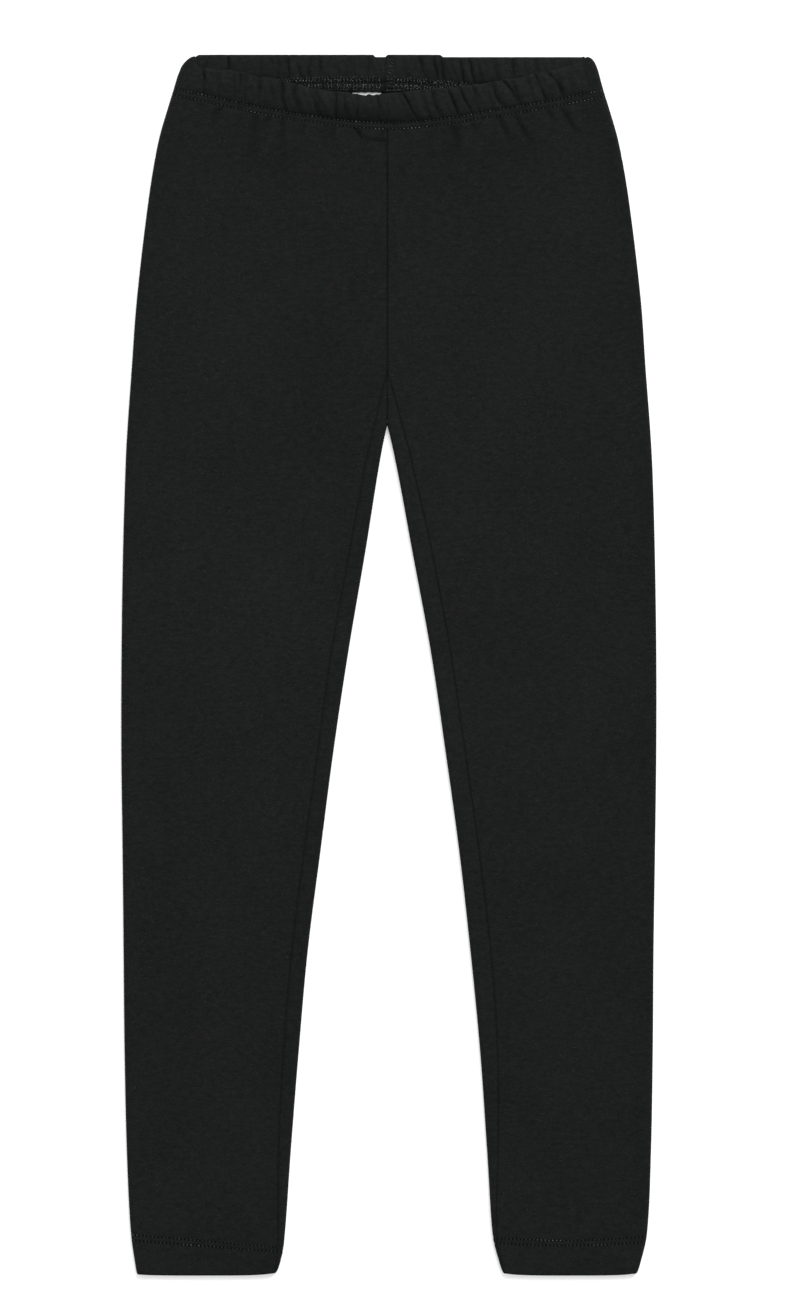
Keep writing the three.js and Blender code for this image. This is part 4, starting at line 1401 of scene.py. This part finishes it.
class LEGGINGS_OT_label(bpy.types.Operator):
    """Makes the blank loop label inside the centre back"""

    bl_idname = "leggings.label"
    bl_label = "Label"

    def execute(self, context):
        top = y_of(WAIST_UP + WAIST_BACK_RISE - SEAM_GAP)
        fold = LABEL["fold"]
        turns = np.linspace(-math.pi / 2, math.pi / 2, LABEL_TURNS)[1:-1]
        down = np.linspace(0, LABEL["length"], LABEL_STEPS)
        ys = [*(top - down), *(top - LABEL["length"] - fold * np.cos(turns)), *(top - down[::-1])]
        low = LABEL_REST + LABEL["cloth"] / 2
        zs = [*(low + 0 * down), *(low + fold + fold * np.sin(turns)), *(low + 2 * fold + 0 * down)]
        across = np.linspace(-LABEL["width"] / 2, LABEL["width"] / 2, LABEL_COLUMNS)
        curl = LABEL_CURL * (across / LABEL["width"] * 2) ** 2
        rows = [[(LABEL["x"] + x, y, z + lift) for x, lift in zip(across, curl)] for y, z in zip(ys, zs)]
        points = np.array(rows)
        count, columns = points.shape[:2]
        faces, places = faces_of_grid(count, columns, False, False, False)
        uvs = np.stack([across[places[..., 1]], walked(points[:, 0])[places[..., 0]]], -1)
        piece = make_piece("blank_label_tape", points.reshape(-1, 3), faces, uvs, np.ones(count * columns))
        select_only(piece)
        wall = piece.modifiers.new("wall", "SOLIDIFY")
        wall.thickness = LABEL["cloth"] * MM
        wall.offset = 0
        bpy.ops.object.modifier_apply(modifier=wall.name)
        smooth(piece)
        dress(piece, cached("label_tape", tape_material), "label_tape", "label")
        return {"FINISHED"}


# Sewing

STITCH_SEGMENTS = 6
STITCH_RINGS = 5
STITCH_SMOOTH = 80
ROW_START = 0.75
ROW_END = 3
# How far stitches lie off their marks, swing from the row and swell.
# Plain stitches are those of a looper or an overlock.
STITCH_JITTER = {"sewn": 0.08, "plain": 0.45}
STITCH_SWING = {"least": 0.10, "of_lean": 0.25}
STITCH_SWELL = (0.8, 1.15)
# Their tones: painted glints, lighter in groups along a row and singly at random on plain stitches
STITCH_TONES = (0.5, 1.3)
SHINE = {"over": 0.8, "share": 0.65, "light": 3.4, "long": 17.9, "short": 7.3, "turn": 2.3}
PLAIN_TONES = {"least": 0.5, "range": 3.4, "power": 1.6}


def stitch_shape(sizes):
    """One stitch, modelled once: an egg drawn out along X. Its faces come unordered, and are sorted."""
    bpy.ops.object.select_all(action="DESELECT")
    bpy.ops.mesh.primitive_uv_sphere_add(segments=STITCH_SEGMENTS, ring_count=STITCH_RINGS, radius=0.5)
    master = bpy.context.active_object
    bpy.ops.object.mode_set(mode="EDIT")
    bpy.ops.mesh.select_all(action="SELECT")
    size = (sizes.thread / MM, sizes.thread / MM, sizes.stitch_length / MM)
    bpy.ops.transform.resize(value=size)
    bpy.ops.object.mode_set(mode="OBJECT")
    points = np.array([vert.co[:] for vert in master.data.vertices])[:, [2, 0, 1]]
    faces = sorted(list(face.vertices) for face in master.data.polygons)
    bpy.data.objects.remove(master)
    return points, faces


def sewn_row(path, sizes, seed, normals=None, walk=None, lean=0, pitch=None, size=1, plain=False):
    """Stitches along a path on the cloth, between the needle holes, each a little off the last."""
    shape, faces = stitch_shape(sizes)
    normals = np.tile((0.0, 0.0, 1.0), (len(path), 1)) if normals is None else normals
    walk = walked(path) if walk is None else walk
    pitch = pitch or sizes.stitch_pitch / MM
    marks = np.arange(pitch * ROW_START, walk[-1] - pitch / ROW_END, pitch)
    chance = np.random.default_rng(seed)
    marks = marks + chance.normal(0, STITCH_JITTER["plain" if plain else "sewn"], len(marks))
    reach = sizes.stitch_length / MM / 2

    def at(place, values):
        return np.stack([np.interp(place, walk, values[:, k]) for k in range(3)], -1)

    along = at(marks + reach, path) - at(marks - reach, path)
    along /= np.linalg.norm(along, axis=1)[:, None]
    out = at(marks, normals)
    out -= (out * along).sum(1)[:, None] * along
    out /= np.linalg.norm(out, axis=1)[:, None]
    aside = np.cross(out, along)
    spread = STITCH_SWING["least"] + STITCH_SWING["of_lean"] * abs(lean)
    swing = (lean + chance.normal(0, spread, len(marks)))[:, None]
    ahead = along * np.cos(swing) + aside * np.sin(swing)
    aside = aside * np.cos(swing) - along * np.sin(swing)
    swell = chance.uniform(*STITCH_SWELL, len(marks))[:, None]
    centre = at(marks, path) + out * (sizes.stitch_sink / MM)
    points = []
    for k in range(len(marks)):
        turn = np.stack([ahead[k], aside[k] * swell[k], out[k] * swell[k]])
        points.append(centre[k] + size * (shape @ turn))
    # Painted glints: stitches of a row are painted lighter in groups, plain ones singly at random.
    drift = np.sin(marks / SHINE["short"] + seed) + np.sin(marks / SHINE["long"] + SHINE["turn"] * seed)
    bright = (drift > SHINE["over"]) & (chance.random(len(marks)) < SHINE["share"])
    tones = chance.uniform(*STITCH_TONES, len(marks)) * np.where(bright, SHINE["light"], 1)
    if plain:
        above = PLAIN_TONES["range"] * chance.random(len(marks)) ** PLAIN_TONES["power"]
        tones = PLAIN_TONES["least"] + above
    return points, faces, tones


def joined(parts):
    """Many copies of small shapes as one list of points, faces and tones, which carry the stitches' painted
    glints.
    """
    points, faces, tones, count = [], [], [], 0
    for shapes, shape_faces, levels in parts:
        for shape, level in zip(shapes, levels):
            points.append(shape)
            faces += [[corner + count for corner in face] for face in shape_faces]
            tones += [level] * len(shape)
            count += len(shape)
    return np.concatenate(points), faces, tones


def sewing_piece(name, parts):
    points, faces, tones = joined(parts)
    points[:, 2] = np.maximum(points[:, 2], 0)
    piece = make_piece(name, points, faces, None, tones)
    smooth(piece, STITCH_SMOOTH)
    dress(piece, cached("sewing_thread", thread_material), "jersey")


def surface_normals(points, lower, upper, side):
    """Outward normals along a row of a grid of sections, from the rows below and above it."""
    along = np.gradient(points[:, lower], axis=0)
    rise = points[:, upper] - points[:, lower]
    normals = np.cross(along, rise) * -side
    return normals / np.linalg.norm(normals, axis=1)[:, None]


# Looper threads inside the back casing.
# Each row has its share of the way up, its lean, its size and its light.
LOOPER_FOOT = -1.2
LOOPER_TOP = {"highest": 9.2, "at": -22, "reach": 60, "fall": 1.9, "least": 4.6}
LOOPER_START = 4
LOOPER_END = 12
LOOPER_PITCH = 2.6
LOOPER_SHADE_EDGE = (-1, 0.8)
LOOPER_ROWS = (
    (1.0, -0.9, 0.95, 0.9),
    (0.92, 0.6, 0.8, 0.8),
    (0.8, 0.8, 1.05, 1.5),
    (0.69, -0.6, 1.0, 1.3),
    (0.53, 0.9, 0.85, 1.0),
    (0.38, -0.7, 1.15, 1.6),
    (0.27, 0.5, 1.05, 1.3),
    (0.15, 0.8, 1.05, 1.3),
    (0.02, 0.2, 0.95, 0.8),
)


def looper_top(x):
    """How high over the back casing's sewn edge the looper threads reach."""
    fall = LOOPER_TOP["fall"] * ((x - LOOPER_TOP["at"]) / LOOPER_TOP["reach"]) ** 2
    return max(LOOPER_TOP["highest"] - fall, LOOPER_TOP["least"])


def casing_inside(leg, sizes, x, up):
    """A point on the inner face of the back casing."""
    sewn = float(back_rise(leg, across_to_centre(leg, x, WAIST_UP)))
    full = float(gathers(leg.back_creases, x, up))
    height = thickness_at(up) + sizes.gather / MM * full * gathering_at(up) + label_lift(x, up)
    drop = float(row_drop(leg, x, False)) * (1 - up / CASING_HEIGHT)
    return np.array((x, y_of(WAIST_UP + sewn + up - drop), height))


def looper_rows(leg, sizes, seed):
    """Rows of short loops inside the back casing, each with its own lean, size and light."""
    start = leg.centre + leg.side * LOOPER_START
    length = abs(float(leg.outer(WAIST_UP)) - leg.side * (CASING_FOLD_RADIUS + LOOPER_END) - start)
    xs = start + leg.side * np.linspace(0, length, int(length))
    parts = []
    for number, (share, lean, size, light) in enumerate(LOOPER_ROWS):
        path = np.array([casing_inside(leg, sizes, x, lerp(LOOPER_FOOT, looper_top(x), share)) for x in xs])
        shape = {"lean": lean, "pitch": LOOPER_PITCH, "size": size}
        loops, faces, tones = sewn_row(path, sizes, seed + number, plain=True, **shape)
        parts.append((loops, faces, tones * light))
    return parts


def waist_rows(leg, sizes, seed):
    """The casing's two needle rows."""
    points, _, _ = casing_grid(leg, sizes)
    along = walked(points[:, 0])
    parts = []
    for number, up in enumerate((ROW_UP, UPPER_ROW_UP)):
        row = CASING_FACE_UPS.index(up)
        normals = surface_normals(points, row - 1, row + 1, leg.side)
        stitches, faces, tones = sewn_row(points[:, row], sizes, seed + number, normals, along)
        parts.append((stitches, faces, tones * WAIST_THREAD_LIGHT))
    return parts


def hem_rows(leg, sizes, seed):
    """The hem's two needle rows, all round it."""
    points, stops, *_ = hem_grid(leg, sizes)
    parts = []
    for number, up in enumerate((HEM_LOWER_ROW, HEM_UPPER_ROW)):
        row = LIP_STEPS + HEM_FACE_UPS.index(up)
        path = np.concatenate([points[:, row], points[:1, row]])
        normals = surface_normals(points, row - 2, row - 1, leg.side)
        normals = np.concatenate([normals, normals[:1]])
        around = np.append(stops[:, row], 2 * stops[-1, row] - stops[-2, row])
        parts.append(sewn_row(path, sizes, seed + number, normals, around))
    return parts


# The centre seam's allowances, by x and by height: between the legs' layers, and inside the back casing
ALLOWANCE_LEFT = -2.5
ALLOWANCE_RIGHT = 4.2
ALLOWANCE_COLUMNS = 9
ALLOWANCE_ENDS = (683.5, 946.8)
ALLOWANCE_ROWS = 60
ALLOWANCE_REST = 1.45
ALLOWANCE_CLOTH = 0.5
BAND_ALLOWANCE_ENDS = (0.1, 25.6)
BAND_ALLOWANCE_ROWS = 26
BAND_ALLOWANCE_CLOTH = 0.45
BAND_ALLOWANCE_OFF = 0.03
OVERLOCK_COLUMNS = (-0.9, 0.6, 2.0, 3.4)
OVERLOCK = {"lean": 0.8, "pitch": 2.6, "size": 0.85}
EDGE_THREADS_PLACE = {"left": -3, "right": 12.5, "up": -1.7, "columns": 16}
EDGE_THREADS = {"lean": 0.3, "pitch": 2.3, "size": 1.05}
OVERLOCK_SEED = 70
EDGE_THREADS_SEED = 80


class LEGGINGS_OT_allowances(bpy.types.Operator):
    """Makes the centre seam's overlocked allowances, between the legs' layers and inside the back casing"""

    bl_idname = "leggings.allowances"
    bl_label = "Seam allowances"

    def execute(self, context):
        sizes = context.scene.leggings_sizes
        xs = np.linspace(ALLOWANCE_LEFT, ALLOWANCE_RIGHT, ALLOWANCE_COLUMNS)
        height = ALLOWANCE_REST + ALLOWANCE_CLOTH
        ups = np.linspace(*ALLOWANCE_ENDS, ALLOWANCE_ROWS)
        self.strip(CENTRE_ALLOWANCE, [[(x, y_of(up), height) for x in xs] for up in ups], ALLOWANCE_CLOTH)

        ups = np.linspace(*BAND_ALLOWANCE_ENDS, BAND_ALLOWANCE_ROWS)
        lift = (0, 0, BAND_ALLOWANCE_CLOTH + BAND_ALLOWANCE_OFF)

        def on_band(x, up):
            return casing_inside(LEFT, sizes, x, up) + lift

        self.strip(WAIST_ALLOWANCE, [[on_band(x, up) for x in xs] for up in ups], BAND_ALLOWANCE_CLOTH)
        parts = []
        for number, x in enumerate(OVERLOCK_COLUMNS):
            path = np.array([on_band(x, up) for up in ups])
            parts.append(sewn_row(path, sizes, OVERLOCK_SEED + number, plain=True, **OVERLOCK))
        xs = np.linspace(*(EDGE_THREADS_PLACE[key] for key in ("left", "right", "columns")))
        path = np.array([on_band(x, EDGE_THREADS_PLACE["up"]) for x in xs])
        parts.append(sewn_row(path, sizes, EDGE_THREADS_SEED, plain=True, **EDGE_THREADS))
        sewing_piece("waist_overlock_threads", parts)
        return {"FINISHED"}

    @staticmethod
    def strip(name, grid, cloth):
        """A strip of jersey from a grid of points on its upper face, [along][across]."""
        grid = np.array(grid)
        count, columns = grid.shape[:2]
        faces, places = faces_of_grid(count, columns, False, False, True)
        along, across = walked(grid[:, 0]), walked(grid[0])
        uvs = np.stack([across[places[..., 1]], along[places[..., 0]]], -1)
        piece = make_piece(name, grid.reshape(-1, 3), faces, uvs, np.ones(count * columns))
        solidify(piece, cloth * MM)
        smooth(piece)
        dress(piece, cached("brushed_jersey", jersey_material), "jersey")


WAIST_SEED = 11
HEM_SEED = 13
LOOPER_SEED = 30
SEED_STEP = 20


class LEGGINGS_OT_sewing(bpy.types.Operator):
    """Sews the needle rows of the waist casing and the hems, and the looper threads inside the back"""

    bl_idname = "leggings.sewing"
    bl_label = "Sewing"

    def execute(self, context):
        sizes = context.scene.leggings_sizes
        for number, leg in enumerate(LEGS):
            step = SEED_STEP * number
            sewing_piece(f"{leg.name}_waist_rows", waist_rows(leg, sizes, WAIST_SEED + step))
            sewing_piece(f"{leg.name}_hem_rows", hem_rows(leg, sizes, HEM_SEED + step))
            sewing_piece(f"{leg.name}_looper_threads", looper_rows(leg, sizes, LOOPER_SEED + step))
        return {"FINISHED"}


# Stage

PHOTO_HEIGHT = 1316
PIXEL = 0.8
CAMERA_X = 8.64
CAMERA_Y = 5.6
SENSOR = 36
FLOOR_SIZE = 12
FLOOR_DROP = 0.0002
FLOOR_DARK = 0.985
FLOOR_ROUGHNESS = 0.9
FLOOR_GLOSS = 0.1
CLIP_END = 100
# Where the lights stand
KEY_FROM = (0.45, 1.25, 1.0)
FILL_FROM = (-1.0, 0.2, 1.3)


class LEGGINGS_OT_stage(bpy.types.Operator):
    """Makes the pale floor, the soft light and the camera straight above"""

    bl_idname = "leggings.stage"
    bl_label = "Stage"

    def execute(self, context):
        look = context.scene.leggings_stage
        scene = context.scene
        bpy.ops.object.select_all(action="DESELECT")
        bpy.ops.mesh.primitive_plane_add(size=FLOOR_SIZE, location=(0, 0, -FLOOR_DROP))
        floor = context.active_object
        floor.name = "floor"
        bpy.ops.object.transform_apply(location=True, rotation=True, scale=True)
        finish = Finish("pale_floor")
        grain = finish.noise("grain", finish.place())
        finish.set(
            Base_Color=finish.mix(grain, dimmer(look.floor, FLOOR_DARK), look.floor),
            Roughness=FLOOR_ROUGHNESS,
            Specular_IOR_Level=FLOOR_GLOSS,
            # The floor glows evenly, painted light that lifts the garment's shadow on it.
            Emission_Color=(1, 1, 1, 1),
            Emission_Strength=look.floor_glow,
        )
        floor.data.materials.append(finish.material)

        camera_data = bpy.data.cameras.new("camera_above")
        camera_data.sensor_fit = "VERTICAL"
        camera_data.sensor_height = SENSOR
        camera_data.lens = SENSOR * look.camera_height / (PHOTO_HEIGHT * PIXEL * MM)
        camera_data.clip_end = CLIP_END
        camera = bpy.data.objects.new("camera_above", camera_data)
        camera.location = (CAMERA_X * MM, CAMERA_Y * MM, look.camera_height)
        context.collection.objects.link(camera)
        scene.camera = camera

        world = scene.world or bpy.data.worlds.new("studio")
        scene.world = world
        world.use_nodes = True
        sky = world.node_tree.nodes["Background"]
        sky.inputs["Color"].default_value = (1, 1, 1, 1)
        sky.inputs["Strength"].default_value = look.sky
        self.lamp("key_light", look.key, look.key_spread, KEY_FROM)
        self.lamp("fill_light", look.fill, look.key_spread, FILL_FROM)
        scene.view_settings.view_transform = "Standard"
        scene.view_settings.look = "None"
        return {"FINISHED"}

    @staticmethod
    def lamp(name, strength, spread, towards):
        """A broad sun that shines from a direction."""
        data = bpy.data.lights.new(name, "SUN")
        data.energy = strength
        data.angle = spread
        lamp = bpy.data.objects.new(name, data)
        x, y, z = towards
        lamp.rotation_euler = (0, math.atan2(math.hypot(x, y), z), math.atan2(y, x))
        bpy.context.collection.objects.link(lamp)


class LeggingsSizes(bpy.types.PropertyGroup):
    cloth: bpy.props.FloatProperty(
        name="Cloth", description="One layer of jersey", default=0.0014, unit="LENGTH"
    )
    gather: bpy.props.FloatProperty(
        name="Gathers", description="How far the waist gathers stand up", default=0.0019, unit="LENGTH"
    )
    seam_depth: bpy.props.FloatProperty(
        name="Seam depth", description="How deep a seam lies in the cloth", default=0.0008, unit="LENGTH"
    )
    allowance_height: bpy.props.FloatProperty(
        name="Seam allowance", description="How far an allowance lifts the cloth",
        default=0.0004, unit="LENGTH",
    )
    row_depth: bpy.props.FloatProperty(
        name="Row depth", description="How deep a needle row lies in the cloth",
        default=0.0004, unit="LENGTH",
    )
    pucker: bpy.props.FloatProperty(
        name="Pucker", description="Height of the ripples along a needle row",
        default=0.00014, unit="LENGTH",
    )
    stitch_pitch: bpy.props.FloatProperty(
        name="Stitch pitch", description="From one stitch to the next", default=0.00305, unit="LENGTH"
    )
    stitch_length: bpy.props.FloatProperty(
        name="Stitch length", description="The thread that shows of a stitch", default=0.0012, unit="LENGTH"
    )
    stitch_sink: bpy.props.FloatProperty(
        name="Stitch lift", description="How far a stitch's middle lies above the row",
        default=0.00012, unit="LENGTH",
    )
    thread: bpy.props.FloatProperty(
        name="Thread", description="Width of the sewing thread", default=0.0006, unit="LENGTH"
    )
    # The shades below are painted shade: darker colour in seam grooves, with the seams' own dark gap, in
    # folds, round the allowance, in creases, in the band's middle and under the loopers.
    seam_shade: bpy.props.FloatProperty(
        name="Seam shade", description="How much darker the cloth is in a seam",
        default=0.3, subtype="FACTOR",
    )
    fold_shade: bpy.props.FloatProperty(
        name="Fold shade", description="How much darker the cloth is in a fold",
        default=0.18, subtype="FACTOR",
    )
    lump_shade: bpy.props.FloatProperty(
        name="Lump shade", description="How much darker the line round the allowance is",
        default=0.5, subtype="FACTOR",
    )
    core_shade: bpy.props.FloatProperty(
        name="Core shade", description="How much darker a crease's core is", default=0.32, subtype="FACTOR"
    )
    band_shade: bpy.props.FloatProperty(
        name="Band shade", description="How much darker the middle of the band is",
        default=0.48, subtype="FACTOR",
    )
    looper_shade: bpy.props.FloatProperty(
        name="Looper shade", description="How much darker the cloth is under the loopers",
        default=0.28, subtype="FACTOR",
    )
    crease_shade: bpy.props.FloatProperty(
        name="Crease shade", description="How much darker the cloth is in a crease",
        default=0.18, subtype="FACTOR",
    )


class LeggingsFinish(bpy.types.PropertyGroup):
    jersey: bpy.props.FloatVectorProperty(
        name="Jersey", description="Colour of the jersey", default=(0.0074, 0.0083, 0.0080), subtype="COLOR"
    )
    thread: bpy.props.FloatVectorProperty(
        name="Thread", description="Colour of the sewing thread",
        default=(0.025, 0.028, 0.028), subtype="COLOR",
    )
    tape: bpy.props.FloatVectorProperty(
        name="Label tape", description="Colour of the label", default=(0.86, 0.85, 0.83), subtype="COLOR"
    )
    contrast: bpy.props.FloatProperty(
        name="Contrast", description="Between the nap's light and dark", default=0.55, subtype="FACTOR"
    )
    warm: bpy.props.FloatVectorProperty(
        name="Warm", description="Tint of the warmer patches",
        default=(1.09, 0.975, 1.01), subtype="COLOR", max=2,
    )
    cool: bpy.props.FloatVectorProperty(
        name="Cool", description="Tint of the cooler patches",
        default=(0.91, 1.025, 0.99), subtype="COLOR", max=2,
    )
    # hole_shade is the painted shadow in the needle holes.
    hole_shade: bpy.props.FloatProperty(
        name="Hole shade", description="How dark the needle holes are", default=0.95, subtype="FACTOR"
    )
    mottle: bpy.props.FloatProperty(
        name="Mottle", description="Strength of the nap's fine mottling", default=1.5
    )
    clouds: bpy.props.FloatProperty(
        name="Clouds", description="Strength of the nap's broad clouding", default=0.25
    )
    fleck_level: bpy.props.FloatProperty(
        name="Fleck level", description="How rare the light flecks are", default=0.66
    )
    fleck_sharpness: bpy.props.FloatProperty(
        name="Fleck sharpness", description="How crisp the light flecks are", default=8.0
    )
    fleck_lift: bpy.props.FloatProperty(
        name="Fleck lift", description="How much lighter a fleck is than the jersey", default=3.0
    )
    jersey_gloss: bpy.props.FloatProperty(
        name="Jersey gloss", description="The jersey's specular level", default=0.06
    )
    jersey_sheen: bpy.props.FloatProperty(
        name="Jersey sheen", description="The nap's sheen", default=0.02, subtype="FACTOR"
    )


class LeggingsStage(bpy.types.PropertyGroup):
    floor: bpy.props.FloatVectorProperty(
        name="Floor", description="Colour of the floor", default=(0.92, 0.92, 0.92), subtype="COLOR"
    )
    # floor_glow is painted light: the floor glows to lift the garment's shadow on it.
    floor_glow: bpy.props.FloatProperty(
        name="Floor glow", description="How far the floor lights itself, as a light table", default=0.3
    )
    sky: bpy.props.FloatProperty(name="Sky", description="Strength of the light all round", default=0.6)
    key: bpy.props.FloatProperty(name="Key", description="Strength of the main light", default=3.0)
    fill: bpy.props.FloatProperty(name="Fill", description="Strength of the second light", default=0.3)
    key_spread: bpy.props.FloatProperty(
        name="Spread", description="Breadth of the lights", default=math.radians(40), subtype="ANGLE"
    )
    camera_height: bpy.props.FloatProperty(
        name="Camera height", description="Above the floor", default=4.0, unit="LENGTH"
    )


class LEGGINGS_PT_panel(bpy.types.Panel):
    """Lists the pieces of the leggings and their sizes"""

    bl_idname = "LEGGINGS_PT_panel"
    bl_label = "Leggings"
    bl_space_type = "VIEW_3D"
    bl_region_type = "UI"
    bl_category = "Leggings"

    def draw(self, context):
        layout = self.layout
        for operator in OPERATORS:
            layout.operator(operator.bl_idname)
        for group_name in GROUPS:
            group = getattr(context.scene, group_name)
            box = layout.box()
            for name in group.__annotations__:
                box.prop(group, name)


OPERATORS = (
    LEGGINGS_OT_stage,
    LEGGINGS_OT_allowances,
    LEGGINGS_OT_legs,
    LEGGINGS_OT_hems,
    LEGGINGS_OT_casing,
    LEGGINGS_OT_label,
    LEGGINGS_OT_sewing,
)
GROUPS = {
    "leggings_sizes": LeggingsSizes,
    "leggings_finish": LeggingsFinish,
    "leggings_stage": LeggingsStage,
}
CLASSES = (*GROUPS.values(), *OPERATORS, LEGGINGS_PT_panel)


def register():
    for made in CLASSES:
        bpy.utils.register_class(made)
    for name, group in GROUPS.items():
        setattr(bpy.types.Scene, name, bpy.props.PointerProperty(type=group))


def unregister():
    for name in GROUPS:
        delattr(bpy.types.Scene, name)
    for made in reversed(CLASSES):
        bpy.utils.unregister_class(made)


def main():
    register()
    bpy.ops.leggings.stage()
    bpy.ops.leggings.allowances()
    bpy.ops.leggings.legs()
    bpy.ops.leggings.hems()
    bpy.ops.leggings.casing()
    bpy.ops.leggings.label()
    bpy.ops.leggings.sewing()


if __name__ == "__main__":
    main()
